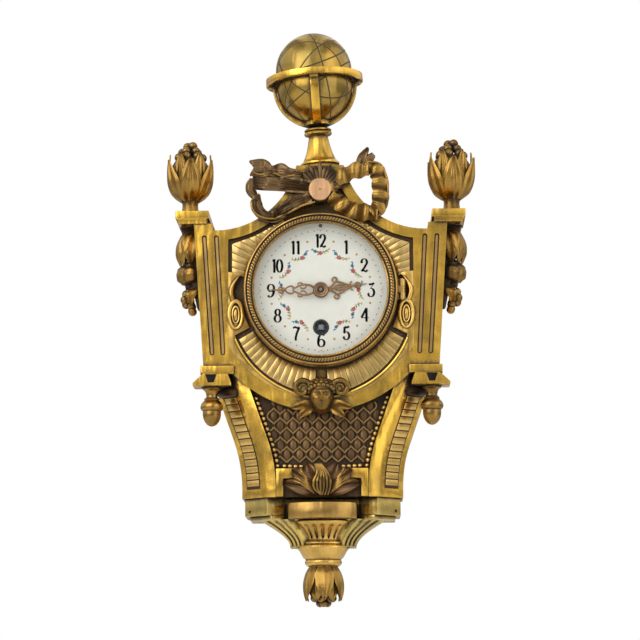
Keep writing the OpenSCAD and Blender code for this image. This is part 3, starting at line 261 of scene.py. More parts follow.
gilt_bead = gilding("gilt_bead", (0.74, 0.50, 0.18, 1), (0.56, 0.38, 0.13, 1), 0.5, 0.26, 1.0)
copper = gilding("copper_disc", (0.78, 0.46, 0.24, 1), (0.66, 0.37, 0.19, 1), 0.35, 0.33)
rose = gilding("rose_gilt", (0.30, 0.18, 0.09, 1), (0.21, 0.125, 0.06, 1), 0.8, 0.34, 1.0)
print("gilt finishes", 14)

# %% [markdown]
# The movement needs plainer metals: brass plates with a straight grain, blued steel for screws and arbors,
# and the fired enamel of the dial, which is nearly white with faint clouds and a glassy coat.

# %% Movement metals, enamel, glass and paint
def plain_metal(name, light, dark, rough, grain):
    finish, shader, place = start_finish(name)
    stretched = place.node("ShaderNodeMapping", {}, {"Vector": place, "Scale": (grain, grain, 1.0)})
    lines = noise(stretched, 160, 3)
    cloud = noise(place, 90, 3)
    feed(
        shader,
        Base_Color=cloud.between(0.3, 0.75).blend(light, dark),
        Metallic=1.0,
        Roughness=lines * 0.2 + cloud * 0.1 + rough,
        Normal=bumped(place, lines, 0.15, 0.05 * MM),
    )
    return finish


def glossy(name, light, dark, rough, coat):
    finish, shader, place = start_finish(name)
    cloud = noise(place, 70, 4)
    ripple = noise(place, 35, 2)
    feed(
        shader,
        Base_Color=cloud.between(0.3, 0.7).blend(light, dark),
        Roughness=cloud * 0.08 + rough,
        Coat_Weight=coat,
        Normal=bumped(place, ripple, 0.05, 0.2 * MM),
    )
    return finish


movement_brass = plain_metal("movement_brass", (0.62, 0.44, 0.16, 1), (0.45, 0.30, 0.10, 1), 0.22, 12.0)
steel = plain_metal("polished_steel", (0.42, 0.43, 0.46, 1), (0.25, 0.26, 0.29, 1), 0.18, 8.0)
black_brass = plain_metal("blackened_brass", (0.035, 0.030, 0.026, 1), (0.012, 0.010, 0.009, 1), 0.28, 6.0)
enamel = glossy("white_enamel", (0.90, 0.895, 0.79, 1), (0.84, 0.835, 0.735, 1), 0.16, 0.6)
ink = glossy("black_paint", (0.012, 0.012, 0.014, 1), (0.03, 0.03, 0.032, 1), 0.32, 0.3)
pink = glossy("pink_paint", (0.72, 0.20, 0.22, 1), (0.62, 0.10, 0.13, 1), 0.35, 0.3)
blue = glossy("blue_paint", (0.16, 0.32, 0.52, 1), (0.10, 0.22, 0.42, 1), 0.35, 0.3)
yellow = glossy("yellow_paint", (0.78, 0.58, 0.16, 1), (0.68, 0.45, 0.10, 1), 0.35, 0.3)
green = glossy("green_paint", (0.20, 0.34, 0.14, 1), (0.13, 0.24, 0.10, 1), 0.35, 0.3)
ochre = glossy("gold_paint", (0.62, 0.38, 0.11, 1), (0.50, 0.28, 0.08, 1), 0.32, 0.3)
glass, glass_shader, glass_place = start_finish("clear_glass")
feed(
    glass_shader,
    Base_Color=(0.02, 0.025, 0.025, 1),
    Roughness=noise(glass_place, 25, 2) * 0.03 + 0.01,
    Alpha=0.05,
    Normal=bumped(glass_place, noise(glass_place, 18, 2), 0.03, 0.3 * MM),
)
print("plain finishes", 11)

# %% [markdown]
# Metal only looks like metal when it has something to reflect. The studio is a pale room that is brighter
# above than below, with two broad lamps and a small low one. The camera itself sees the room as white.

# %% Studio
def white_stage(name, tone, glow):
    """Paper that is partly lit from within, but only where the camera sees it."""
    finish, shader, place = start_finish(name)
    tree = finish.node_tree
    ray = tree.nodes.new("ShaderNodeLightPath")
    seen = Wire(tree, ray.outputs["Is Camera Ray"]) + Wire(tree, ray.outputs["Is Transmission Ray"])
    paper = noise(place, 3, 2).blend((tone, tone, tone, 1), (tone * 0.97,) * 3 + (1,))
    feed(shader, Base_Color=paper, Roughness=0.9)
    light = place.node("ShaderNodeEmission", {}, {"Color": (1, 1, 1, 1), "Strength": 1.0})
    both = tree.nodes.new("ShaderNodeMixShader")
    tree.links.new((seen * glow).socket, both.inputs[0])
    tree.links.new(shader.outputs[0], both.inputs[1])
    tree.links.new(light.socket, both.inputs[2])
    tree.links.new(both.outputs[0], tree.nodes["Material Output"].inputs[0])
    return finish


def stage_plane(name, turn, size, finish):
    bm = bmesh.new()
    bmesh.ops.create_grid(bm, x_segments=1, y_segments=1, size=size, matrix=turn)
    mesh = bpy.data.meshes.new(name)
    bm.to_mesh(mesh)
    bm.free()
    plane = bpy.data.objects.new(name, mesh)
    plane.data.materials.append(finish)
    bpy.context.scene.collection.objects.link(plane)


stage_plane("studio_floor", Matrix.Translation((0, 0, -0.62)), 3.0, white_stage("floor_paper", 0.82, 0.5))

world = bpy.data.worlds.new("studio_room")
bpy.context.scene.world = world
world.use_nodes = True
room = world.node_tree
direction = Wire(room, room.nodes.new("ShaderNodeTexCoord").outputs["Generated"])
split = direction.node("ShaderNodeSeparateXYZ", {}, {0: direction}).socket.node
height = Wire(room, split.outputs["Z"])
aside = direction.math("ABSOLUTE", Wire(room, split.outputs["X"]))
band = aside.between(0.05, 0.2) * 0.7 - aside.between(0.26, 0.36) + aside.between(0.5, 0.62) * 0.8
room_light = (band + 0.58) * (height.between(-0.14, 0.42) * 0.72 + 0.28)
ray = Wire(room, room.nodes.new("ShaderNodeLightPath").outputs["Is Camera Ray"])
room.links.new(ray.blend(room_light, (1, 1, 1, 1)).socket, room.nodes["Background"].inputs["Color"])


def lamp(name, place, size, watts):
    light = bpy.data.lights.new(name, "AREA")
    light.shape = "RECTANGLE"
    light.size, light.size_y = size
    light.energy = watts
    item = bpy.data.objects.new(name, light)
    bpy.context.scene.collection.objects.link(item)
    aim(item, Vector(place), TO_FRAME @ Vector((0, -40, 0)))


lamp("key_lamp", (-0.95, -1.3, 0.75), (1.4, 1.8), 17)
lamp("fill_lamp", (1.15, -1.1, 0.3), (1.3, 2.0), 7)
lamp("low_lamp", (0.1, -1.2, -0.8), (0.9, 0.4), 2.0)
print("lamps", 3)

# %% [markdown]
# Nearly everything on the clock is one of five kinds of form: turned, bent from a sheet, drawn out as a
# bar, a ball, or a cut plate. Each gets one helper made of bmesh operators.

# %% Shape helpers
def round_turn(x, y, z, degrees):
    """A place, and a turn round an upright axis through it."""
    return Matrix.Translation((x, y, z)) @ Matrix.Rotation(math.radians(degrees), 4, "Z")


def face_turn(x, y, z, angle):
    """A place, and a turn round an axis through it that faces the viewer."""
    return Matrix.Translation((x, y, z)) @ Matrix.Rotation(angle, 4, "Y")


def since(bm, before):
    """The vertices made since there were that many."""
    bm.verts.ensure_lookup_table()
    return bm.verts[before:]


def glide(points, t):
    """A smooth place at share t of the way through a few points."""
    last = len(points) - 1
    i = min(int(t * last), last - 1)
    f = t * last - i
    a, b, c, d = (Vector(points[min(max(k, 0), last)]) for k in (i - 1, i, i + 1, i + 2))
    bend = (2 * a - 5 * b + 4 * c - d) * f * f + (3 * b - a - 3 * c + d) * f ** 3
    return 0.5 * (2 * b + (c - a) * f + bend)


def glide_size(sizes, t):
    """A smooth size at share t of the way through a few sizes."""
    return glide([(size, 0.0) for size in sizes], t).x


def lifted(profile, z):
    """A [radius, height] profile whose heights are counted from the level z."""
    return [(r, z + h) for r, h in profile]


def lathe(bm, profile, x=0.0, y=0.0, steps=48):
    """Turns a [radius, height] profile round an upright axis."""
    verts = [bm.verts.new((x + r, y, z)) for r, z in profile]
    edges = [bm.edges.new(pair) for pair in zip(verts, verts[1:])]
    before = len(bm.verts)
    bmesh.ops.spin(
        bm, geom=verts + edges, cent=(x, y, 0), axis=(0, 0, 1), angle=math.tau, steps=steps, use_merge=True
    )
    return verts + list(since(bm, before))


def face_lathe(bm, profile, x=0.0, z=0.0, steps=96, closed=True):
    """Turns a [radius, depth] profile round an axis that faces the viewer."""
    verts = [bm.verts.new((x + r, y, z)) for r, y in profile]
    pairs = list(zip(verts, verts[1:])) + ([(verts[-1], verts[0])] if closed else [])
    edges = [bm.edges.new(pair) for pair in pairs]
    bmesh.ops.spin(
        bm, geom=verts + edges, cent=(x, 0, z), axis=(0, 1, 0), angle=math.tau, steps=steps, use_merge=True
    )


def sheet(bm, rows, cols, form, thick):
    """A grid whose points go where form(u, v) says: u along it from 0 to 1, v across it from -1 to 1."""
    before = len(bm.verts)
    made = bmesh.ops.create_grid(bm, x_segments=cols, y_segments=rows, size=1.0)["verts"]
    reach = max(v.co.y for v in made)
    for v in made:
        v.co = form(0.5 + 0.5 * v.co.y / reach, v.co.x / reach)
    bmesh.ops.solidify(bm, geom=list({f for v in made for f in v.link_faces}), thickness=thick)
    return since(bm, before)


def bar(bm, points, radii, sides=8):
    """A round bar: circles are set along the points and bridged."""
    points = [Vector(p) for p in points]
    last = len(points) - 1
    loops = []
    for i, p in enumerate(points):
        ahead = points[min(i + 1, last)] - points[max(i - 1, 0)]
        turn = Matrix.Translation(p) @ ahead.to_track_quat("Z", "Y").to_matrix().to_4x4()
        made = bmesh.ops.create_circle(
            bm, cap_ends=i in (0, last), segments=sides, radius=radii[i], matrix=turn
        )["verts"]
        loops.append(list({e for v in made for e in v.link_edges}))
    for first, second in zip(loops, loops[1:]):
        bmesh.ops.bridge_loops(bm, edges=first + second)


def drawn(bm, path, count, size_at, sides=8):
    """A bar along a smooth path, whose radius size_at gives at each share of the way."""
    shares = [k / count for k in range(count + 1)]
    bar(bm, [glide(path, t) for t in shares], [size_at(t) for t in shares], sides)


def ball(bm, place, radius, stretch=(1, 1, 1), fine=2):
    turn = Matrix.Translation(place) @ Matrix.Diagonal((*stretch, 1))
    return bmesh.ops.create_icosphere(bm, subdivisions=fine, radius=radius, matrix=turn)["verts"]


def plate(bm, outline, y, thick):
    """A front-view outline as thick as thick, in front of the plane y."""
    face = bm.faces.new([bm.verts.new((x, y, z)) for x, z in outline])
    made = bmesh.ops.extrude_face_region(bm, geom=[face])["geom"]
    bmesh.ops.translate(bm, vec=(0, -thick, 0), verts=[g for g in made if isinstance(g, bmesh.types.BMVert)])


def block(bm, turn, size):
    return bmesh.ops.create_cube(bm, size=1.0, matrix=turn @ Matrix.Diagonal((*size, 1)))["verts"]


def soften(bm, offset, limit=30, segments=2, where=None):
    """Rounds every edge that turns by more than limit degrees, or those of them that where picks."""
    bmesh.ops.recalc_face_normals(bm, faces=bm.faces)
    sharp = [e for e in bm.edges if e.is_manifold and e.calc_face_angle(0) > math.radians(limit)]
    if where:
        sharp = [e for e in sharp if all(where(v.co) for v in e.verts)]
    bmesh.ops.bevel(
        bm, geom=sharp, offset=offset, segments=segments, profile=0.5, affect="EDGES", material=-1,
        clamp_overlap=True
    )


def set_piece(bm, name, finish, body="case", nodes=(), crease=42, merge=0.002):
    """Moves a drawn shape into the frame as a finished piece."""
    bmesh.ops.remove_doubles(bm, verts=bm.verts, dist=merge)
    bmesh.ops.recalc_face_normals(bm, faces=bm.faces)
    bmesh.ops.transform(bm, matrix=TO_FRAME, verts=bm.verts)
    for face in bm.faces:
        face.smooth = True
    for edge in bm.edges:
        edge.smooth = edge.calc_face_angle(0) < math.radians(crease)
    mesh = bpy.data.meshes.new(name)
    bm.to_mesh(mesh)
    bm.free()
    piece = bpy.data.objects.new(name, mesh)
    bpy.context.scene.collection.objects.link(piece)
    mesh.materials.append(finish)
    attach(piece, body)
    if nodes:
        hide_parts(*nodes)
    print(name, len(mesh.polygons), "faces")
    return piece


def dress(node, finish, offset, body="case", soft=None):
    """A copy of a CAD node with its edges rounded as a file and a burnisher leave them."""
    bm = bmesh.new()
    bm.from_mesh(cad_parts[node].data)
    bmesh.ops.transform(bm, matrix=TO_FRAME.inverted(), verts=bm.verts)
    bmesh.ops.remove_doubles(bm, verts=bm.verts, dist=0.004)
    bmesh.ops.dissolve_limit(bm, angle_limit=math.radians(0.6), verts=bm.verts, edges=bm.edges)
    if soft:
        soften(bm, 1.5, 30, 4, soft)
    soften(bm, offset)
    return set_piece(bm, node + "_chased", finish, body, [node])


print("shape helpers ready")

# %% [markdown]
# The upper case, the waist and the consoles are already right in the frame. They only need their arrises
# rounded, so each is copied, its loose triangles are merged, and its sharp edges are bevelled.

# %% Case castings
def cushion(p):
    """True on the slabs over and under the pilasters, whose edges are as round as cushions."""
    return (p.z > 44 and abs(p.x) > 67) or (-50.1 < p.z < -44.9 and p.y < -54.9)


dress("upper_case", gilt_case_bow_shade, 0.45, soft=cushion)
dress("waist_case", gilt_pale, 0.45)
dress("globe_cradle", gilt, 0.5)

# Thin dark and brown plates in the flutes: painted shade on the flutes' sides and floors.
FLUTE_SHADE_LAYERS = (("flute_side_shade", 1.25, 1.5, gilt_dark), ("flute_floor_shade", 0.7, 1.3, gilt_wire))
for name, half, deep, finish in FLUTE_SHADE_LAYERS:
    bm = bmesh.new()
    for side in (1, -1):
        for top, foot in ((70.2, 65.6), (62.9, 59.0)):
            ends = [math.pi * k / 10 for k in range(11)]
            floor = [(top + half * math.cos(a), 33 + half * math.sin(a)) for a in ends]
            floor += [(foot - half * math.cos(a), -37 - half * math.sin(a)) for a in ends]
            plate(bm, [(side * x, z) for x, z in floor], FRONT + deep, 0.14)
    set_piece(bm, name, finish)

# Black plates on the capitals: painted shade where notches would be, not cut notches.
bm = bmesh.new()
for side in (1, -1):
    notch = [(62.7, -50.3), (64.4, -55.2), (67.8, -55.2), (69.5, -50.3)]
    plate(bm, [(side * x, z) for x, z in notch], FRONT - 2.9, 0.16)
set_piece(bm, "capital_notch_shade", black_brass)

# %% [markdown]
# Inside the frame of the case, ribs run out from the dial like a sunburst. They lie in a sunk field with a
# dark border, and at each side of the dial a flat cheek parts the upper field from the lower one.

# %% Sunburst ribs
RIB_IN = 47.4
RIB_PITCH = 4.3
RIB_MARGIN = 2.2


def crest(degrees):
    """The inner edge of the crescent: nearer to the dial at the sides than at the foot."""
    return 58.2 + 6.2 * max((-27 - degrees) / 63, 0) ** 0.8


def field_reach(degrees, margin):
    """How far the sunk field goes out in a direction, less a margin."""
    c, s = math.cos(math.radians(degrees)), math.sin(math.radians(degrees))
    if s < 0:
        return crest(degrees) - margin * 0.75
    reach = (55.7 - margin) / max(c, 0.01)
    along = 63.3 * c + 87.5 * s
    square = 63.3 ** 2 + 87.5 ** 2 - (56.1 + margin) ** 2
    if along ** 2 > square:
        reach = min(reach, along - math.sqrt(along ** 2 - square))
    return min(reach, FIELD_R - margin)


def at_angle(radius, degrees, side=1):
    return side * radius * math.cos(math.radians(degrees)), radius * math.sin(math.radians(degrees))


sectors = ([13.5 + RIB_PITCH * k for k in range(12)], [-84 + RIB_PITCH * k for k in range(13)])
bm = bmesh.new()
for side in (1, -1):
    for degrees in sectors[0] + sectors[1]:
        if field_reach(degrees, RIB_MARGIN) < RIB_IN + 2.0:
            continue
        for v in block(bm, Matrix.Identity(4), (1, 1, 1)):
            turn = degrees + RIB_PITCH * 0.94 * v.co.z
            far = max(field_reach(turn, RIB_MARGIN), RIB_IN + 1)
            x, z = at_angle(far if v.co.x > 0 else RIB_IN, turn, side)
            v.co = Vector((x, FLOOR - 1.3 if v.co.y < 0 else FLOOR - 0.1, z))
soften(bm, 0.14)
set_piece(bm, "sunburst_ribs", gilt_bead)

bm = bmesh.new()
for side in (1, -1):
    for sector in sectors:
        fan = [sector[0] - 2.5 + (sector[-1] - sector[0] + 5) * k / 30 for k in range(31)]
        fan = [d for d in fan if field_reach(d, 0) > RIB_IN + 1]
        outline = [at_angle(field_reach(d, 0), d, side) for d in fan]
        outline += [at_angle(RIB_IN, d, side) for d in reversed(fan)]
        plate(bm, outline, FLOOR + 0.3, 0.6)
set_piece(bm, "sunburst_ground", gilt_dark)

# %% [markdown]
# Each cheek runs on downwards as the inner part of the crescent, so both are cut as one plate that lies level
# with the frame of the case. A rim follows its inner edge, and an oval boss stands on the cheek.

# %% Cheeks, crescent rim and ovals
bm = bmesh.new()
for side in (1, -1):
    inner = [at_angle(crest(-88 + 61 * k / 24), -88 + 61 * k / 24) for k in range(25)]
    hollow = [at_angle(48.2, -27 + 4 * k) for k in range(5)]
    hollow += [(50.9, -8.5), (52.2, -4), (52.4, 1), (51.7, 5), (50.2, 8.2), (47.6, 10.2)]
    hollow += [(49.4, 11.2), (55.9, 12.0)]
    outer = [(55.9, -33.2)] + [at_angle(65.1, -31 - 57 * k / 24) for k in range(25)]
    plate(bm, [(side * x, z) for x, z in inner + hollow + outer], FLOOR + 0.2, 3.15)
soften(bm, 0.3)
set_piece(bm, "dial_cheeks", gilt_warm)

bm = bmesh.new()
for side in (1, -1):
    rim = [at_angle(crest(d) + 0.5, d, side) for d in [-89 + 60 * k / 40 for k in range(41)]]
    bar(bm, [(x, FRONT - 0.1, z) for x, z in rim], [0.6] * 41, 8)
set_piece(bm, "crescent_rim", gilt)

bm = bmesh.new()
for side in (1, -1):
    turns = [math.tau * k / 32 for k in range(33)]
    centre = Vector((side * 51.2, FRONT - 0.1, -14.2))
    for wide, tall, size, deep in ((4.0, 8.2, 1.15, 0.3), (2.0, 5.0, 0.5, 0.5)):
        oval = [centre + Vector((wide * math.cos(a), -deep, tall * math.sin(a))) for a in turns]
        bar(bm, oval, [size * (1 + 0.25 * math.sin(a)) for a in turns], 8)
    ball(bm, centre, 1.0, (1.5, 1.3, 4.0), 3)
    leaf = [centre + Vector((side * x, -0.4, z)) for x, z in ((1.5, 8.6), (2.8, 13), (1.8, 18), (-1.5, 23))]
    drawn(bm, leaf, 10, lambda t: 1.3 + 0.8 * math.sin(3 * t) - 1.2 * t, 10)
set_piece(bm, "side_ovals", gilt_warm, nodes=["side_rosettes"])

# %% [markdown]
# The consoles carry a ladder: a dark sunk strip with a row of raised blocks; the strip's dark is painted
# shade in the gaps between the blocks. A block sits square to the canted face, so its axes come from the
# face: across it, along the sweep, and out of it.

# %% Consoles with their ladders
SWEEP_R, SWEEP_TILT, SWEEP_Z = 90.0, math.radians(19.3), -118.0
CANT = Vector((14.3, 16, 0))
CANT_OUT = Vector((CANT.y, -CANT.x, 0)).normalized()


def sweep(z):
    """How far the waist has spread at a level, above its upright foot."""
    d = max(z - SWEEP_Z, 0)
    bent = SWEEP_R * math.sin(SWEEP_TILT)
    if d < bent:
        return SWEEP_R - math.sqrt(SWEEP_R ** 2 - d * d)
    return SWEEP_R * (1 - math.cos(SWEEP_TILT)) + (d - bent) * math.tan(SWEEP_TILT)


def cant_point(share, z, out=0.0):
    """A place on the right console's canted face, at a share of the way from ridge to outer edge."""
    return Vector((34.2 + sweep(z) + CANT.x * share, -50 + CANT.y * share, z)) + CANT_OUT * out


RUNGS = 13
RUNG_LOW, RUNG_HIGH = -117.0, -63.0
step = (RUNG_HIGH - RUNG_LOW) / RUNGS
for name, side in (("left", -1), ("right", 1)):
    dress("console_" + name, gilt, 0.7)
    flip = Matrix.Diagonal((side, 1, 1, 1))
    # Dark strip under the rungs: painted shade that shows in the gaps between them.
    shade_strip = bmesh.new()

    def on_cant(u, v):
        z = RUNG_LOW - 1.2 + (RUNG_HIGH - RUNG_LOW + 2.4) * u
        return flip @ cant_point(0.5 + 0.29 * v, z, 0.1)

    sheet(shade_strip, 30, 2, on_cant, 0.2)
    set_piece(shade_strip, "ladder_shade_ground_" + name, gilt_dark)
    rungs = bmesh.new()
    for k in range(RUNGS):
        low, high = RUNG_LOW + step * (k + 0.09), RUNG_LOW + step * (k + 0.91)
        for v in block(rungs, Matrix.Identity(4), (1, 1, 1)):
            z = high if v.co.z > 0 else low
            v.co = flip @ cant_point(0.5 + 0.51 * v.co.x, z, 0.35 if v.co.y < 0 else -0.2)
    soften(rungs, 0.15)
    set_piece(rungs, "ladder_rungs_" + name, gilt_warm)
    roll = bmesh.new()
    ends = [flip @ cant_point(share, -60.0, 0.4) for share in (0.1, 0.2, 0.5, 0.8, 0.9)]
    bar(roll, ends, [2.0, 2.9, 3.1, 2.9, 2.0], 16)
    set_piece(roll, "console_roll_" + name, gilt_dark)

# %% [markdown]
# The panel between the consoles is a dark ground under a net. The cells are pointed above and below and
# full at the sides, because each wire swings from side to side and touches its neighbours in turn.

# %% Net panel
PANEL_HALF, PANEL_FOOT, PANEL_Y = 27.7, -106.7, -46.0
CELL_W, CELL_H = 7.7, 11.6


def inside_net(x, z):
    return (
        abs(x) < PANEL_HALF + sweep(z) - 3.0
        and math.hypot(x, z) > CRESCENT_R + 0.3
        and PANEL_FOOT + 3.4 < z
    )


levels = [-123.7 + 2.0 * k for k in range(37)]
edge = [(PANEL_HALF + sweep(z), z) for z in levels if math.hypot(PANEL_HALF + sweep(z), z) > CRESCENT_R]
reach = math.atan2(edge[-1][1], edge[-1][0])
crown = [reach + (-math.pi - 2 * reach) * k / 24 for k in range(1, 24)]
outline = edge + [(CRESCENT_R * math.cos(a), CRESCENT_R * math.sin(a)) for a in crown]
outline += [(-x, z) for x, z in reversed(edge)]
bm = bmesh.new()
plate(bm, outline, PANEL_Y + 3, 3)
set_piece(bm, "net_ground", gilt_dark, nodes=["lattice_panel"])

bm = bmesh.new()
for i in range(-8, 9):
    run = []
    for k in range(0, 110):
        z = PANEL_FOOT + 0.5 * k
        phase = (z - PANEL_FOOT) / CELL_H + 0.5 * (i % 2)
        swing = math.sin(math.tau * phase)
        x = CELL_W / 2 * (i + 0.52 * math.copysign(abs(swing) ** 0.8, swing))
        if inside_net(x, z) and k < 109:
            if not k % 2:
                run.append((x, PANEL_Y - 0.6, z))
        elif len(run) > 2:
            bar(bm, run, [0.6] * len(run), 6)
            run = []
        else:
            run = []
set_piece(bm, "net_wires", gilt_wire)

bm = bmesh.new()
for i in range(-8, 9):
    for k in range(-1, 6):
        x = CELL_W / 2 * (i + 0.5)
        z = PANEL_FOOT + CELL_H * (k + 0.75 - 0.5 * (i % 2))
        if inside_net(x, z):
            ball(bm, (x, PANEL_Y, z), 1.0, (2.4, 0.8, 3.9), 2)
set_piece(bm, "net_pillows", gilt_net)

bm = bmesh.new()
BEAD_R, BEAD_STEP, BEAD_Y = 1.45, 3.3, PANEL_Y - 1.3
for side in (1, -1):
    z = PANEL_FOOT + 1.7
    while math.hypot(PANEL_HALF + sweep(z) - 1.8, z) > CRESCENT_R + 1:
        ball(bm, (side * (PANEL_HALF + sweep(z) - 1.8), BEAD_Y, z), BEAD_R)
        z += BEAD_STEP * math.cos(math.atan(sweep(z + 1) - sweep(z)))
    for k in range(1, 5):
        ball(bm, (side * (PANEL_HALF - 1.8 - BEAD_STEP * k), BEAD_Y, PANEL_FOOT + 1.7 - 0.12 * k), BEAD_R)
set_piece(bm, "bead_rows", gilt_bead, nodes=["bead_edging"])

# %% [markdown]
# Below the net a plain rail joins the two consoles, with a square notch for the leaves. It is one plate,
# and rounding its edges gives it the soft look of the casting.

# %% Rail under the net
bm = bmesh.new()
for side in (1, -1):
    rail = [(23.2, -112.8), (23.2, -123.5), (27.6, -123.5)]
    rail += [(27.6, PANEL_FOOT), (11.5, PANEL_FOOT), (14.5, -112.8)]
    plate(bm, [(side * x, z) for x, z in rail], PANEL_Y, 6.4)
soften(bm, 0.5)
set_piece(bm, "lower_rail", gilt)

bm = bmesh.new()
plate(bm, [(-24, -123.5), (24, -123.5), (24, PANEL_FOOT), (-24, PANEL_FOOT)], PANEL_Y, 3.4)
set_piece(bm, "leaf_recess", gilt_dark)

# %% [markdown]
# Leaves, petals and husks are one idea: a strip that follows a bent path, swells and closes to a point,
# and has grooves along it. The ends of the path set the pose, and the grooves are a cosine across it.

# %% Petal helpers
def petal(bm, path, width, turn, cup=0.25, groove=0.35, ribs=2.0, thick=0.9, rows=14, cols=10, wrap=False):
    """A chased leaf along a path of [out, up] pairs that faces -Y, or wraps round the path's axis."""

    def form(u, v):
        out, up = glide(path, u)
        half = width * max(min(0.6 + 1.4 * u, 1.0) * (1 - max((u - 0.42) / 0.58, 0) ** 1.7), 0.03)
        rib = groove * math.cos(math.pi * ribs * v) * (1 - 0.5 * u)
        spine = groove * 1.6 * math.exp(-(v / 0.12) ** 2)
        deep = out - cup * half * v * v + rib + spine
        if wrap:
            a = half * v / max(out, 2.0)
            return turn @ Vector((deep * math.sin(a), -deep * math.cos(a), up))
        return turn @ Vector((half * v, -deep, up))

    return sheet(bm, rows, cols, form, thick)


def whorl(bm, place, path, width, start, groove, ribs, thick, rows, cols):
    """Six equal petals round an upright axis, the first of them at start degrees."""
    for k in range(6):
        turn = round_turn(*place, 60 * k + start)
        petal(bm, path, width, turn, 0.03, groove, ribs, thick, rows, cols, True)


def berries(bm, place, rings):
    """Rings of berries, each with its count, radius, height, berry size and turn."""
    for count, radius, rise, size, shift in rings:
        for k in range(count):
            a = math.tau * (k + shift) / count
            ball(bm, place + Vector((radius * math.cos(a), radius * math.sin(a), rise)), size, fine=3)


print("petal helpers ready")

# %% [markdown]
# A flower finial stands on each capital: a turned foot, six broad petals, six narrower ones between and
# inside them, and a heap of berries. The bud under the clock is the same flower hung upside down.

# %% Flower finials
FINIAL_TURNED = [
    (0, 0), (6.5, 0), (6.4, 0.8), (5.6, 2.2), (5.0, 4.4), (4.8, 6.8), (5.1, 9), (5.8, 10.4), (8.6, 12.6),
    (11.4, 17), (12.2, 23), (12.0, 30), (9.0, 35), (0, 38)
]
FINIAL_OUTER = [(5.6, 10.4), (10.9, 14.4), (13.7, 20.5), (14.8, 27), (15.2, 34)]
FINIAL_INNER = [(5.4, 11.4), (9.6, 16.2), (12.4, 23), (13.0, 30.5), (12.0, 38.6)]
FINIAL_BERRIES = ((7, 7.4, 36.4, 2.8, 0), (5, 4.9, 40.0, 2.8, 0.4), (2, 2.0, 43.6, 2.9, 0.8))
for name in ("left", "right"):
    place = middle("finial_" + name)
    place.z = extent("finial_" + name)[0].z
    bm = bmesh.new()
    lathe(bm, lifted(FINIAL_TURNED, place.z), place.x, place.y)
    whorl(bm, place, FINIAL_OUTER, 7.5, 4, 0.34, 3.0, 1.3, 22, 24)
    whorl(bm, place, FINIAL_INNER, 6.6, 34, 0.34, 3.0, 1.2, 22, 24)
    berries(bm, place, FINIAL_BERRIES)
    set_piece(bm, "flower_finial_" + name, gilt_cast, nodes=["finial_" + name])

# %% [markdown]
# The bud is measured downwards from the foot of the cup. Its petals are smoother and shorter than a
# finial's, and its berries peep out between their tips.

# %% Hanging bud
BUD_TURNED = [(0, 0), (8.8, 0), (8.4, -1.5), (8.2, -4), (8.8, -9), (8.6, -14), (6, -18), (0, -19)]
BUD_OUTER = [(8.4, 0), (10.8, -4.0), (12.2, -9), (12.4, -13.6), (11.8, -19.4)]
BUD_INNER = [(7.8, -1.4), (9.2, -6), (10.4, -11), (10.4, -15.4), (9.0, -19.8)]
place = middle("drop_bud")
place.z = extent("drop_bud")[1].z
bm = bmesh.new()
lathe(bm, lifted(BUD_TURNED, place.z), place.x, place.y)
whorl(bm, place, BUD_OUTER, 6.0, 4, 0.26, 2.0, 1.2, 20, 22)
whorl(bm, place, BUD_INNER, 5.8, 34, 0.26, 2.0, 1.2, 20, 22)
berries(bm, place, ((6, 5.6, -19.0, 2.5, 0.25), (3, 2.6, -21.9, 2.5, 0.25)))
set_piece(bm, "hanging_bud", gilt_cast, nodes=["drop_bud"])

# %% [markdown]
# The garlands at the sides start as a bell-shaped husk, swell into fruit with leaves, and end in berries.
# They hang against the side of the pilaster, which leans in a little towards its foot.

# %% Side garlands
def side_x(z):
    """The outer face of a pilaster at a level."""
    return 70.5 + (z + 50) * 6.0 / 91.6


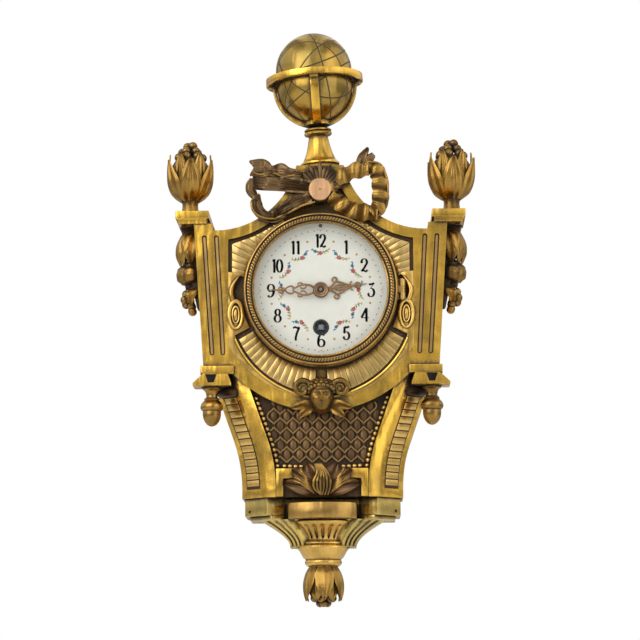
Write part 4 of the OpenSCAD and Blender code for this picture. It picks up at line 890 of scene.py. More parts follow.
FRUIT = (
    (7.4, -0.5, 13.0, 6.4), (4.4, -6.6, 12.8, 4.8), (4.4, 6.4, 11.6, 4.8), (4.2, -2.0, 18.0, 4.0),
    (5.4, 2.4, 6.8, 3.8)
)
GARLAND_BERRIES = ((0.8, 4, 6.4, 4.6), (-2.4, 4, 8.0, 4.2), (-5.6, 3, 6.8, 3.2), (-8.6, 2, 5.4, 1.8))
HUSK = [(1.6, -0.6), (6.6, -3.6), (10.0, -9.5), (10.6, -15.5), (8.2, -21.6)]
HUSK_CORE = [(0, 0), (3.4, 0), (5.6, -3), (8.0, -9), (7.4, -17), (0, -19)]
for name, side in (("left", -1), ("right", 1)):
    bm = bmesh.new()
    y = middle("garland_" + name).y
    top = extent("garland_" + name)[1].z
    hang = side_x(30) + 1.4
    # A web behind the garland, finished dark as painted shadow between the garland and the pilaster.
    shadow_web = bmesh.new()
    for v in block(shadow_web, Matrix.Identity(4), (1, 1, 1)):
        z = 44.6 if v.co.z > 0 else -8.6
        reach = 9.4 if z > 0 else 2.2
        v.co = Vector((side * (side_x(z) + (reach if v.co.x > 0 else -0.2)), y + 11 * v.co.y, z))
    soften(shadow_web, 1.2)
    set_piece(shadow_web, "garland_shadow_web_" + name, gilt_dark)
    for k in range(-2, 3):
        petal(bm, HUSK, 6.4, round_turn(hang, y, top, 90 + 38 * k), 0.15, 0.5, 3.0, 1.3)
    lathe(bm, lifted(HUSK_CORE, top), hang, y, 24)
    for out, along, z, size in FRUIT:
        around = Vector((side_x(z) + out, y + along, z))
        for v in ball(bm, around, size, fine=3):
            d = v.co - around
            v.co = around + d * (1 + 0.09 * math.sin(1.5 * d.y + out) * math.sin(1.4 * d.z + along))
    for turn, rise in ((-60, 5.4), (-15, 4.8), (35, 5.6)):
        swing = round_turn(side_x(4) + 1.2, y, rise, 90 + turn)
        petal(bm, [(1.5, 0), (6.6, -1.6), (8.6, -5.6), (7.4, -10.6)], 4.0, swing, 0.2, 0.4, 3.0, 1.0)
    for level, (rise, count, out, spread) in enumerate(GARLAND_BERRIES):
        for k in range(count):
            a = math.tau * (k + 0.5 * level) / count
            across = side_x(rise) + out + 2.2 * math.cos(a)
            ball(bm, (across, y + spread * math.sin(a), rise + 0.6 * math.cos(2 * a)), 2.6, fine=3)
    bmesh.ops.transform(bm, matrix=Matrix.Diagonal((side, 1, 1, 1)), verts=bm.verts)
    set_piece(bm, "fruit_garland_" + name, gilt_cast, nodes=["garland_" + name])

# %% [markdown]
# An acorn hangs under each pilaster. It is plain turning: a flared neck, a round cup with a step under it,
# and a smooth nut, so one profile does it all.

# %% Acorns
ACORN = [
    (0, 0), (5.6, 0), (5.8, -0.6), (5.6, -1.4), (4.4, -2.2), (3.6, -3.6), (3.3, -5.2), (3.6, -6.4),
    (4.4, -6.9), (4.7, -7.4), (4.4, -8.0), (5.2, -8.8), (6.3, -10.0), (6.85, -11.4), (6.9, -12.6),
    (6.5, -13.7), (5.9, -14.2), (5.4, -14.4), (5.5, -15.0), (5.5, -16.8), (5.1, -19.0), (4.2, -21.0),
    (2.9, -22.6), (1.4, -23.5), (0, -23.8)
]
for name in ("left", "right"):
    place = middle("acorn_" + name)
    bm = bmesh.new()
    lathe(bm, lifted(ACORN, extent("acorn_" + name)[1].z), place.x, place.y)
    set_piece(bm, "turned_acorn_" + name, gilt_turned, nodes=["acorn_" + name])

# %% [markdown]
# Under the waist the clock ends in a block, a bracket hollowed out on a curve, a round belt and a turned
# cup. The bracket is lofted through shrinking copies of its plan, and the grooves on its canted faces are
# points of that plan that are drawn in a little.

# %% Base block and bracket
BLOCK_PLAN = [(22.5, -38.3), (34.2, -50.0), (48.5, -34.0)]
WING_PLAN = [(22.5, -46.0), (28.0, -50.0), (48.5, -34.0)]
BLOCK_TOP, BLOCK_LOW, WING_LOW, STEP_LOW = -123.7, -134.4, -152.7, -136.9
CUP_Y = middle("fluted_cup").y


def plan_at(share, z, back, plan):
    """The base's plan at a share of its width: two spurs with a bay between them."""
    right = [(x * share, CUP_Y + (y - CUP_Y) * share) for x, y in plan]
    ring = [(-48.5 * share, back)] + [(-x, y) for x, y in reversed(right)] + right + [(48.5 * share, back)]
    return [Vector((x, y, z)) for x, y in ring]


def loft(bm, rings):
    """Bridges rings of points into a closed skin."""
    loops = []
    for ring in rings:
        verts = [bm.verts.new(p) for p in ring]
        loops.append((verts, [bm.edges.new((verts[i - 1], verts[i])) for i in range(len(verts))]))
    for first, second in zip(loops, loops[1:]):
        bmesh.ops.bridge_loops(bm, edges=first[1] + second[1])
    bm.faces.new(loops[0][0])
    bm.faces.new(loops[-1][0])


def wing_at(u):
    """The bracket's plan, grooves included, from its foot at 0 to its top at 1."""
    share = 0.41 + 0.35 * (1 - math.cos(math.pi / 2 * u))
    corners = plan_at(share, WING_LOW + (STEP_LOW + 0.4 - WING_LOW) * u, -10, WING_PLAN)
    deep = min(1, 0.4 + 6 * u)
    ring = []
    for i, (here, there) in enumerate(zip(corners, corners[1:] + corners[:1])):
        ring.append(here)
        inward = Vector((-math.copysign(0.75, here.x), 0.66, 0)) * deep
        for groove in {1: (0.2, 0.48, 0.76), 5: (0.24, 0.52, 0.8)}.get(i, ()):
            for shift, press in ((-0.08, 0), (-0.04, 1), (0.04, 1), (0.08, 0)):
                ring.append(here.lerp(there, groove + shift) + inward * press)
    return ring


bm = bmesh.new()
loft(bm, [plan_at(0.965, BLOCK_LOW, 0, BLOCK_PLAN), plan_at(0.965, BLOCK_TOP, 0, BLOCK_PLAN)])
loft(bm, [plan_at(0.9, STEP_LOW, -7, BLOCK_PLAN), plan_at(0.9, BLOCK_LOW + 0.2, -7, BLOCK_PLAN)])
soften(bm, 0.45)
loft(bm, [wing_at(k / 18) for k in range(19)])
set_piece(bm, "base_block", gilt_pale, nodes=["base_bracket"])

bm = bmesh.new()
BELT_R, BELT_HALF, BELT_FRONT, BELT_BACK = 32.0, 20.4, -57.0, -36.0
BELT_LOW, BELT_TOP = -136.4, -127.0
half_turn = math.asin(BELT_HALF / BELT_R)
front = [-math.pi / 2 + half_turn * k / 14 for k in range(-14, 15)]
skin = [Vector((BELT_R * math.cos(a), BELT_FRONT + BELT_R + BELT_R * math.sin(a), 0)) for a in front]
skin += [Vector((BELT_HALF, BELT_BACK, 0)), Vector((-BELT_HALF, BELT_BACK, 0))]
loft(bm, [[p + Vector((0, 0, level)) for p in skin] for level in (BELT_LOW, BELT_TOP)])
soften(bm, 0.5)
set_piece(bm, "base_belt", gilt_bezel)

bm = bmesh.new()
PIN_SHARE = 0.8
for side in (1, -1):
    place = Vector((33.0 + 13.8 * PIN_SHARE, -49.4 + 15.4 * PIN_SHARE, -131.6))
    ends = (place - CANT_OUT * 0.6, place + CANT_OUT * 0.06)
    bar(bm, [Vector((side * p.x, p.y, p.z)) for p in ends], [0.85, 0.85], 12)
set_piece(bm, "base_pins", black_brass)

# %% [markdown]
# The cup is turned first; then narrow slots are pressed into its bowl by drawing points in towards the axis.
# A slot is narrow and keeps its depth until close to its ends, where it closes in a round.

# %% Fluted cup
FLUTES = 22
FLUTE_LOW, FLUTE_TOP = -147.8, -139.6
bm = bmesh.new()
cup = [(0, -136.9), (20.8, -136.9), (21.2, -137.3), (21.2, -138.0), (20.7, -138.7)]
cup += [(12.4 + 8.1 * (1 - u) ** 1.5, -139.0 - 9.2 * u) for u in [k / 20 for k in range(21)]]
cup += [
    (12.3, -148.8), (13.2, -149.2), (14.2, -149.6), (14.4, -150.4), (14.2, -151.0), (15.2, -151.6),
    (15.8, -152.4), (15.6, -153.4), (14.4, -154.8), (13.2, -156.8), (12.2, -158.8), (11.0, -159.7),
    (10.6, -160.2), (11.0, -160.8), (11.2, -161.6), (11.0, -162.6), (10.4, -163.4), (9.4, -164.1),
    (0, -164.1)
]
for v in lathe(bm, cup, 0, CUP_Y, FLUTES * 14):
    radius = math.hypot(v.co.x, v.co.y - CUP_Y)
    if radius > 1 and FLUTE_LOW < v.co.z < FLUTE_TOP:
        turn = FLUTES * (math.atan2(v.co.y - CUP_Y, v.co.x) + math.pi / 2) / math.tau
        off = abs(turn - round(turn))
        ends = min(v.co.z - FLUTE_LOW, FLUTE_TOP - v.co.z) / 1.2
        slot = min(1.0, max(0.0, (0.24 * min(1, ends) ** 0.5 - off) / 0.07))
        press = 1 - 1.4 * slot / radius
        v.co = Vector((v.co.x * press, CUP_Y + (v.co.y - CUP_Y) * press, v.co.z))
set_piece(bm, "turned_cup", gilt_warm, nodes=["fluted_cup"], crease=60)

# %% [markdown]
# On top, the globe sits in its ring on a trumpet-shaped stem. The engraved lines of the globe are small
# circles: places at a set distance from a few slanted planes, which the finish turns dark and sunk. Globe
# and stem lean a little to the left, as they do in the portrait.

# %% Globe and stem
def engraved(place):
    """1 on the engraved lines of the globe, 0 elsewhere."""
    home = tuple(TO_FRAME @ middle("globe"))
    local = place.node("ShaderNodeVectorMath", {"operation": "SUBTRACT"}, {0: place, 1: home})
    planes = (
        ((0.95, 0.2, 0.25), 0.002), ((0.6, 0.1, -0.8), 0.004), ((-0.75, 0.3, 0.6), 0.0015),
        ((0.3, -0.7, 0.65), 0.006), ((0.86, -0.4, 0.3), -0.011), ((-0.3, -0.35, 0.9), 0.0125),
        ((0.2, 0.9, 0.4), -0.009), ((0.7, 0.55, -0.45), 0.010)
    )
    line = None
    for normal, offset in planes:
        unit = tuple(Vector(normal).normalized())
        along = Wire(place.tree, local.node(
            "ShaderNodeVectorMath", {"operation": "DOT_PRODUCT"}, {0: local, 1: unit}
        ).socket.node.outputs["Value"])
        mark = 1 - place.math("ABSOLUTE", along - offset).between(0.00022, 0.00055)
        line = mark if line is None else place.math("MAXIMUM", line, mark)
    return line * 0.9


GLOBE_GOLD, GLOBE_OLIVE = (0.43, 0.265, 0.055, 1), (0.32, 0.22, 0.058, 1)
globe_gilt = gilding("gilt_engraved", GLOBE_GOLD, GLOBE_OLIVE, 0.9, 0.22, 3.0, engraved)
GLOBE_R, GLOBE_LOW, GLOBE_UP, STEM_Y = 23.4, -3.6, 6.2, -32.0
LEAN = Matrix.Rotation(math.radians(-3.5), 4, "Y")
home = middle("globe")
bm = bmesh.new()
skin = []
for k in range(-24, 25):
    a = math.radians(90 * k / 24)
    skin.append((GLOBE_R * math.cos(a), GLOBE_R * math.sin(a) + (GLOBE_UP if k > 0 else GLOBE_LOW)))
lathe(bm, skin, 0, 0, 96)
lathe(bm, [(23.0, -0.5), (27.3, -0.5), (27.3, 0.5), (23.0, 0.5), (23.0, -0.5)], 0, 0, 96)
bmesh.ops.transform(bm, matrix=Matrix.Translation(home) @ LEAN, verts=bm.verts)
set_piece(bm, "engraved_globe", globe_gilt, nodes=["globe"])

bm = bmesh.new()
low, high = extent("globe_stem")
foot = low.z
lean = Matrix.Translation((0, STEM_Y, foot)) @ LEAN @ Matrix.Translation((0, -STEM_Y, -foot))
stem = lifted([
    (0, 0.6), (10.6, 0.6), (11.0, 3.6), (11.9, 4.2), (11.9, 5.2), (11.0, 5.8), (9.6, 8.2), (8.2, 11.6),
    (7.1, 15.4), (6.3, 19.4), (5.8, 22.0), (6.6, 22.6), (8.2, 23.0), (8.6, 23.8), (8.2, 24.6), (7.4, 25.0),
    (8.2, 25.4), (8.4, 26.0), (7.6, 26.6)
], foot) + [(4.4, high.z - 0.3), (0, high.z - 0.1)]
bmesh.ops.transform(bm, matrix=lean, verts=lathe(bm, stem, 0, STEM_Y, 64))
base = [(0, 0), (13.4, 0), (13.6, 0.8), (13.2, 1.8), (12.0, 3.0), (0, 3.2)]
lathe(bm, lifted(base, foot), 0, STEM_Y, 64)
set_piece(bm, "trumpet_stem", gilt, nodes=["globe_stem"])

# %% [markdown]
# The bow is a cast ribbon. Each length of it is a sheet that follows a path across the front: the left
# loop lies in long dark folds with a bright edge, and the right one is pleated across.

# %% Ribbon bow
def ribbon(bm, path, width, pleats=0.0, deep=0.0, folds=0.0, fold_deep=0.0, notch=0.0, thick=1.3, rows=72):
    """A ribbon along [x, y, z] points: pleats run across it, folds along it, and notch cuts its end."""

    def form(u, v):
        here = glide(path, u)
        ahead = glide(path, min(u + 0.01, 1)) - glide(path, max(u - 0.01, 0))
        side = Vector((ahead.z, 0, -ahead.x)).normalized()
        half = glide_size(width, u) / 2
        puff = 2 * abs(math.cos(math.pi * pleats * u + 0.3 * v)) - 1
        ripple = deep * puff + fold_deep * math.cos(math.pi * folds * v + 2.5 * u)
        frill = side * 0.35 * deep * math.sin(math.tau * pleats * u) * v
        back = ahead.normalized() * notch * (abs(v) - 1) * u ** 6
        return here + side * half * v + frill + Vector((0, -ripple - 1.4 * (1 - v * v), 0)) + back

    return sheet(bm, rows, 8, form, thick)


LEFT_RIBBONS = (
    (
        [(-11, -56.4, 70.8), (-18.5, -57.8, 71.8), (-24, -56.4, 73.4), (-29.5, -58.2, 73.4),
         (-35.5, -56.4, 75.6), (-42.6, -56.2, 75.4)],
        (4, 6, 8.4, 5.6, 10.4, 8), 3.2, 0.8, 2, 0.5, 3.0,
    ),
    (
        [(-5, -57.4, 63.0), (-14, -57, 64.4), (-24, -57, 65.6), (-33, -57, 66.6), (-41, -55.6, 67.6)],
        (6.5, 7.5, 8.2, 8.8, 8.2), 1.5, 0.3, 4, 0.9,
    ),
    (
        [(-40.2, -55.4, 68.2), (-42, -56.2, 63.4), (-39.8, -56.6, 58.8), (-37, -57, 57)],
        (4.5, 6, 4.5, 2.5), 1, 0.3, 2, 0.5,
    ),
    (
        [(-37.2, -56, 58.8), (-38.4, -55, 53.8), (-36.6, -54.8, 49), (-32.4, -55, 46),
         (-27, -55.8, 45.2), (-21.5, -56.6, 46.8)],
        (2.5, 6.6, 6.4, 5, 4.6, 3), 2, 0.3, 3, 0.5,
    ),
    (
        [(-6, -57, 57), (-15, -57, 53.6), (-22.5, -56.6, 49.2), (-28.5, -56, 45.8)],
        (9.5, 9.5, 7, 4), 3.2, 0.8, 3, 0.8,
    ),
    ([(23.4, -55.4, 77), (26, -56.2, 82), (29, -55.4, 87)], (4, 5, 1.8), 1, 0.3, 2, 0.5),
    ([(27.4, -55.2, 77.6), (30, -56, 80.6), (32.4, -55.2, 83)], (3.6, 4.8, 3), 1, 0.3, 1, 0.5),
)
bm = bmesh.new()
for length in LEFT_RIBBONS:
    ribbon(bm, *length)
set_piece(bm, "ribbon_left", gilt_brown, nodes=["ribbon_bow"])

HEMS = (
    ((-41, -58.2, 72.4), (-36, -57.6, 70.6), (-29, -59.2, 71.4), (-23, -57.6, 69.6), (-18, -58.8, 69.6),
     (-13, -57.6, 70.6)),
    ((-36.8, -58, 59), (-41.4, -57, 54.6), (-40.4, -57, 48.6), (-35.6, -57, 44.8), (-28.4, -57.4, 43.6),
     (-21.4, -57.8, 46)),
    ((-3, -58.6, 53.4), (-11, -58.6, 51), (-18, -58, 47.4), (-24.6, -57, 44.4)),
    ((28, -57.6, 78), (36, -58, 76.6), (40.2, -58.4, 68), (40.8, -58.4, 58), (39.6, -58, 49.6),
     (34.4, -57, 44.4)),
)
bm = bmesh.new()
for hem in HEMS:
    drawn(bm, hem, 24, lambda t: 0.35 + 0.4 * math.sin(math.pi * (0.1 + 0.8 * t)))
set_piece(bm, "ribbon_hems", gilt_turned)

RIGHT_RIBBONS = (
    ([(5.5, -57, 62.8), (13, -57.6, 69), (20.5, -57.6, 72.8), (29, -57, 74.2)], (6.5, 7.5, 8.5, 8), 3.0, 1.3),
    (
        [(27, -56.4, 75.6), (33.6, -57.2, 73.4), (36, -57.6, 66.5), (36.4, -57.6, 58.5),
         (35.6, -57.2, 51.5), (31, -56.6, 47.2)],
        (6, 8.6, 9.6, 9.8, 9, 7), 5.0, 1.3,
    ),
    (
        [(34.6, -55.8, 47.4), (27.8, -56.6, 47.6), (20.5, -57, 48.4), (13.6, -57.2, 52), (6.4, -57.6, 57)],
        (7, 9, 9, 8.5, 7), 4.0, 1.7,
    ),
)
bm = bmesh.new()
for length in RIGHT_RIBBONS:
    ribbon(bm, *length)
set_piece(bm, "ribbon_right", gilt_cast)

bm = bmesh.new()
BOSS_Z = 61
for k in range(15):
    a = math.radians(8 + 164 * k / 14)
    near = Vector((6.6 * math.cos(a), -57.4, BOSS_Z + 6.6 * math.sin(a)))
    reach = 13.5 + 2.6 * math.sin(a) + 1.2 * math.sin(3 * k)
    far = Vector((reach * math.cos(a), -55.8, BOSS_Z + reach * math.sin(a)))
    bar(bm, [near, near.lerp(far, 0.6) + Vector((0, -0.9, 0)), far], [0.8, 1.5, 0.7], 8)
face_lathe(bm, [(0, FRONT), (8.6, FRONT), (8.4, -57.0), (7.4, -58.2), (0, -58.4)], 0, BOSS_Z, 40, False)
set_piece(bm, "ribbon_knot", gilt_brown)

bm = bmesh.new()
disc = [
    (0, -58.2), (6.6, -58.2), (6.9, -58.6), (6.9, -59.6), (6.5, -60.0), (0.8, -60.1), (0.45, -59.6),
    (0, -59.3)
]
face_lathe(bm, disc, 0, BOSS_Z, 48, False)
set_piece(bm, "copper_boss", copper, nodes=["bow_boss"])

# %% [markdown]
# A small mask hangs under the dial. It is a plain egg, pushed in for the eyes and drawn out for the brow,
# nose, lips and chin on the proportions that any drawing book gives, with wool on top and curled horns.

# %% Horned mask
MASK_Z, HEAD = -64.2, Vector((7.6, 7.4, 10.2))
RELIEF = (
    (0, 0.06, 0.15, 0.22, 1.7), (0, -0.17, 0.19, 0.10, 1.5), (0, 0.30, 0.62, 0.07, 0.8),
    (0.38, 0.13, 0.17, 0.09, -1.5), (0.38, 0.12, 0.10, 0.05, 0.9), (0, -0.40, 0.22, 0.045, 0.8),
    (0, -0.47, 0.22, 0.025, -0.7), (0, -0.55, 0.19, 0.05, 0.8), (0, -0.78, 0.26, 0.12, 1.0),
    (0.5, -0.2, 0.2, 0.2, 0.5)
)
bm = bmesh.new()
for v in bmesh.ops.create_uvsphere(bm, u_segments=64, v_segments=48, radius=1.0)["verts"]:
    x, y, z = v.co
    push = 0.0
    if y < 0:
        for cx, cz, wide, tall, rise in RELIEF:
            push += rise * math.exp(-((abs(x) - cx) / wide) ** 2 - ((z - cz) / tall) ** 2) * min(1, -2.5 * y)
    taper = 1 - 0.22 * max(-z, 0)
    v.co = Vector((x * HEAD.x * taper, -54 + y * HEAD.y - push, MASK_Z + z * HEAD.z))
for count, rise, deep in ((7, 8.4, -57.4), (8, 6.6, -59.2), (9, 10.0, -54.6)):
    for k in range(count):
        a = math.radians(-70 + 140 * k / (count - 1))
        drop = 1 - math.cos(a)
        ball(bm, (7.4 * math.sin(a), deep + 2.2 * drop, MASK_Z + rise - 3.4 * drop), 1.55)
for side in (1, -1):
    horn = []
    for k in range(28):
        a = math.radians(150 - 19 * k)
        r = 5.0 - 0.13 * k
        horn.append((side * (11.4 + r * math.cos(a)), -55.4 - 0.05 * k, MASK_Z + 5.0 + r * math.sin(a)))
    bar(bm, horn, [2.0 - 0.05 * k + 0.18 * math.cos(2.1 * k) for k in range(28)], 10)
    for k, (length, lift) in enumerate(((13, -0.2), (11, -0.65), (9, 0.25))):
        turn = face_turn(side * 5.2, FRONT - 1.0, MASK_Z - 3.5 - 1.5 * k, side * (math.pi / 2 - lift))
        leaf = [(0.5, 0), (2.6, length * 0.35), (3.0, length * 0.7), (1.2, length)]
        petal(bm, leaf, 2.3, turn, 0.3, 0.3, 2.0, 0.9, 10, 8)
    ball(bm, (side * 14.4, FRONT - 1.8, MASK_Z - 5.6), 2.2, (1, 0.8, 1), 2)
set_piece(bm, "mask_of_the_waist", gilt_cast, nodes=["horned_mask"])

# %% [markdown]
# A spray of leaves fills the notch above the base: a flame-like middle leaf with strands that curl to one
# side, and pairs of leaves that lie out to the left and right.

# %% Leaf spray
SIDE_LEAVES = ((80, 21, 4.6, -118.6, 1.4), (56, 19, 5.4, -118.0, 2.0), (27, 15.5, 5.2, -117.0, 1.6))
bm = bmesh.new()
for side in (1, -1):
    for lean, length, width, rise, out in SIDE_LEAVES:
        turn = face_turn(side * 2.2, FRONT, rise, side * math.radians(lean))
        path = [(out * 0.3, 0), (out + 1.4, length * 0.3), (out + 2.0, length * 0.65), (out - 0.4, length)]
        petal(bm, path, width, turn, 0.35, 0.5, 3.0, 1.1, 16, 12)
set_piece(bm, "side_leaves", gilt_net)

bm = bmesh.new()
ball(bm, (-0.6, FRONT - 1.0, -116.0), 1.0, (4.4, 3.2, 5.4), 3)
for k in range(6):
    start = -4.8 + 1.95 * k
    path = [
        (0.85 * max(start, 0) - 0.8, FRONT - 3.0, -122.8), (start * 0.95, FRONT - 5.0, -119.0),
        (start, FRONT - 5.8, -114.5), (start * 0.62 + 0.2, FRONT - 5.0, -109.5),
        (start * 0.4 - 2.4, FRONT - 2.6, -104.4)
    ]
    drawn(bm, path, 14, lambda t: 0.25 + 0.62 * math.sin(math.pi * (0.12 + 0.8 * t)))
for side in (1, -1):
    for k in range(5):
        path = [
            (side * (4.4 + 0.5 * k), FRONT - 2.4, -122.2 + 1.0 * k),
            (side * (8 + 0.3 * k), FRONT - 4.4, -119.4 + 1.5 * k),
            (side * (12.5 - 0.1 * k), FRONT - 4.0, -116.2 + 1.8 * k),
            (side * (17.6 - 1.1 * k), FRONT - 2.2, -114.4 + 2.1 * k)
        ]
        drawn(bm, path, 10, lambda t: 0.25 + 0.5 * math.sin(math.pi * t))
set_piece(bm, "leaf_spray_cast", gilt_cast, nodes=["leaf_spray"])

# %% [markdown]
# The bezel is one turned ring with a rope set between two plain beads. The rope is a ring of slanted
# grains; each has few faces, because there are many of them.

# %% Bezel
VIEW_R, DOOR_Y = 39.9, -56.3
hinge_x, hinge_y = middle("bezel_hinge_pin").x, middle("bezel_hinge_pin").y
bm = bmesh.new()
ring = [
    (VIEW_R, -61.2), (VIEW_R, -62.4), (40.2, -63.0), (40.8, -63.1), (41.2, -62.7), (41.5, -62.2),
    (41.8, -62.4), (42.2, -62.6), (43.0, -62.7), (43.8, -62.6), (44.2, -62.3), (44.5, -62.2),
    (44.7, -62.8), (45.1, -63.3), (45.6, -63.2), (46.0, -62.7), (46.1, -61.8), (45.9, -61.0),
    (46.2, -60.6), (46.4, -60.0), (46.4, DOOR_Y), (41.0, DOOR_Y), (41.0, -61.2)
]
face_lathe(bm, ring, 0, 0, 144)
bar(bm, [(hinge_x, hinge_y, -1.9), (hinge_x, hinge_y, 1.9)], [2.0, 2.0], 20)
block(bm, Matrix.Translation((46.6, hinge_y - 1.0, 0)), (3.2, 2.0, 3.8))
GRAINS = 150
grain = face_turn(43.0, -62.75, 0, math.radians(32)) @ Matrix.Diagonal((1.25, 0.85, 0.72, 1))
for k in range(GRAINS):
    turn = Matrix.Rotation(-math.tau * k / GRAINS, 4, "Y")
    bmesh.ops.create_icosphere(bm, subdivisions=1, radius=1.0, matrix=turn @ grain)
set_piece(bm, "roped_bezel", gilt_bezel, "bezel_door", ["bezel_rim"])

# %% [markdown]
# The dial is white enamel with painted work. Each figure is drawn with a broad pen: a stroke is thick where
# it runs up or down and thin where it runs across, which is what gives such dials their look.

# %% Dial figures
FACE = -55.0
PAINT = 0.05


def bow_of(cx, cy, rx, ry, start, end, count=18):
    """Points along an arc of an ellipse, by angles in degrees."""
    turns = [math.radians(start + (end - start) * k / count) for k in range(count + 1)]
    return [(cx + rx * math.cos(a), cy + ry * math.sin(a)) for a in turns]


FIGURES = {
    "0": [bow_of(0.32, 0.5, 0.27, 0.46, 90, 450, 28)],
    "1": [[(0.3, 0), (0.3, 1)], [(0.3, 0.98), (0.12, 0.86)]],
    "2": [bow_of(0.3, 0.72, 0.24, 0.25, 190, -25) + [(0.3, 0.3), (0.06, 0.05)]],
    "3": [bow_of(0.28, 0.31, 0.28, 0.31, 105, -150)],
    "4": [[(0.46, 1), (0.02, 0.3)], [(0.0, 0.29), (0.68, 0.29)], [(0.46, 1), (0.46, 0)]],
    "5": [[(0.15, 0.96), (0.12, 0.52)], bow_of(0.29, 0.32, 0.26, 0.29, 140, -155)],
    "6": [bow_of(0.42, 0.42, 0.38, 0.55, 68, 190, 16) + bow_of(0.31, 0.29, 0.27, 0.27, 190, 540, 24)],
    "8": [bow_of(0.32, 0.76, 0.2, 0.21, 90, 450, 24), bow_of(0.32, 0.28, 0.26, 0.26, 90, 450, 24)],
    "9": [bow_of(0.22, 0.58, -0.38, -0.55, 68, 190, 16) + bow_of(0.33, 0.71, -0.27, -0.27, 190, 540, 24)],
}
BARS = {
    "2": [[(0.05, 0.06), (0.24, 0.12), (0.45, 0.03), (0.6, 0.14)]],
    "3": [[(0.1, 0.93), (0.3, 0.92), (0.58, 1.0)]],
    "5": [[(0.14, 0.98), (0.34, 0.93), (0.56, 1.0)]],
    "7": [
        [(0.05, 0.93), (0.25, 1.0), (0.42, 0.92), (0.6, 0.98)],
        [(0.6, 0.98), (0.36, 0.5), (0.28, 0.2), (0.28, 0)],
    ],
}
HAIRLINES = {"3": [[(0.56, 0.98), (0.24, 0.6)]]}
KNOBS = {"2": (0.1, 0.72), "3": (0.06, 0.2), "5": (0.08, 0.2), "6": (0.52, 0.9), "9": (0.12, 0.1)}
PENS = ((FIGURES, 1.4, 0.36), (BARS, 1.3, 1.1), (HAIRLINES, 0.3, 0.3))


def pen_stroke(bm, points, thick, thin, y=FACE):
    """A stroke along [x, z] points: thick where it runs up or down, thin where it runs across."""
    points = [Vector((x, 0, z)) for x, z in points]
    last = len(points) - 1

    def form(u, v):
        i = min(int(round(u * last)), last)
        ahead = (points[min(i + 1, last)] - points[max(i - 1, 0)]).normalized()
        side = Vector((ahead.z, 0, -ahead.x))
        width = thin + (thick - thin) * abs(ahead.z) ** 1.4
        return points[i] + side * v * width / 2 + Vector((0, y - PAINT, 0))

    sheet(bm, last, 1, form, PAINT * 2)


def dot(bm, x, z, rx, rz, turn=0.0, segments=10, y=FACE):
    """A painted spot, round or drawn out."""
    shape = face_turn(x, y, z, -turn) @ Matrix.Rotation(math.pi / 2, 4, "X") @ Matrix.Diagonal((rx, rz, 1, 1))
    bmesh.ops.create_cone(
        bm, cap_ends=True, segments=segments, radius1=1, radius2=1, depth=2 * PAINT, matrix=shape
    )


NUMBER_R, FIGURE_H, FIGURE_W, KNOB_R = 30.2, 8.2, 6.8, 0.72
DOT_R = 36.4
bm = bmesh.new()
for hour in range(1, 13):
    a = math.radians(90 - 30 * hour)
    digits = str(hour)
    paces = [4.0 if d != "1" else 3.0 for d in digits]
    home = NUMBER_R * math.cos(a) - sum(paces) / 2
    base = NUMBER_R * math.sin(a) - FIGURE_H / 2
    squeeze = 0.88 if len(digits) > 1 else 1.0
    left = home
    for digit, pace in zip(digits, paces):
        for table, thick, thin in PENS:
            for line in table.get(digit, ()):
                spots = [(left + x * FIGURE_W * squeeze, base + z * FIGURE_H) for x, z in line]
                pen_stroke(bm, spots, thick, thin)
        left += pace
    if digits in KNOBS:
        x, z = KNOBS[digits]
        dot(bm, home + x * FIGURE_W, base + z * FIGURE_H, KNOB_R, KNOB_R, 0, 14)

for minute in range(60):
    if minute % 5:
        a = math.tau * minute / 60
        dot(bm, DOT_R * math.sin(a), DOT_R * math.cos(a), 0.34, 0.34)
set_piece(bm, "dial_figures", ink)

# %% [markdown]
# Between the figures and the hands runs a ring of flower sprigs, each with a rose in the middle, a blue
# flower at one end and yellow leaves at the other. Every colour is one piece of tiny flat discs.

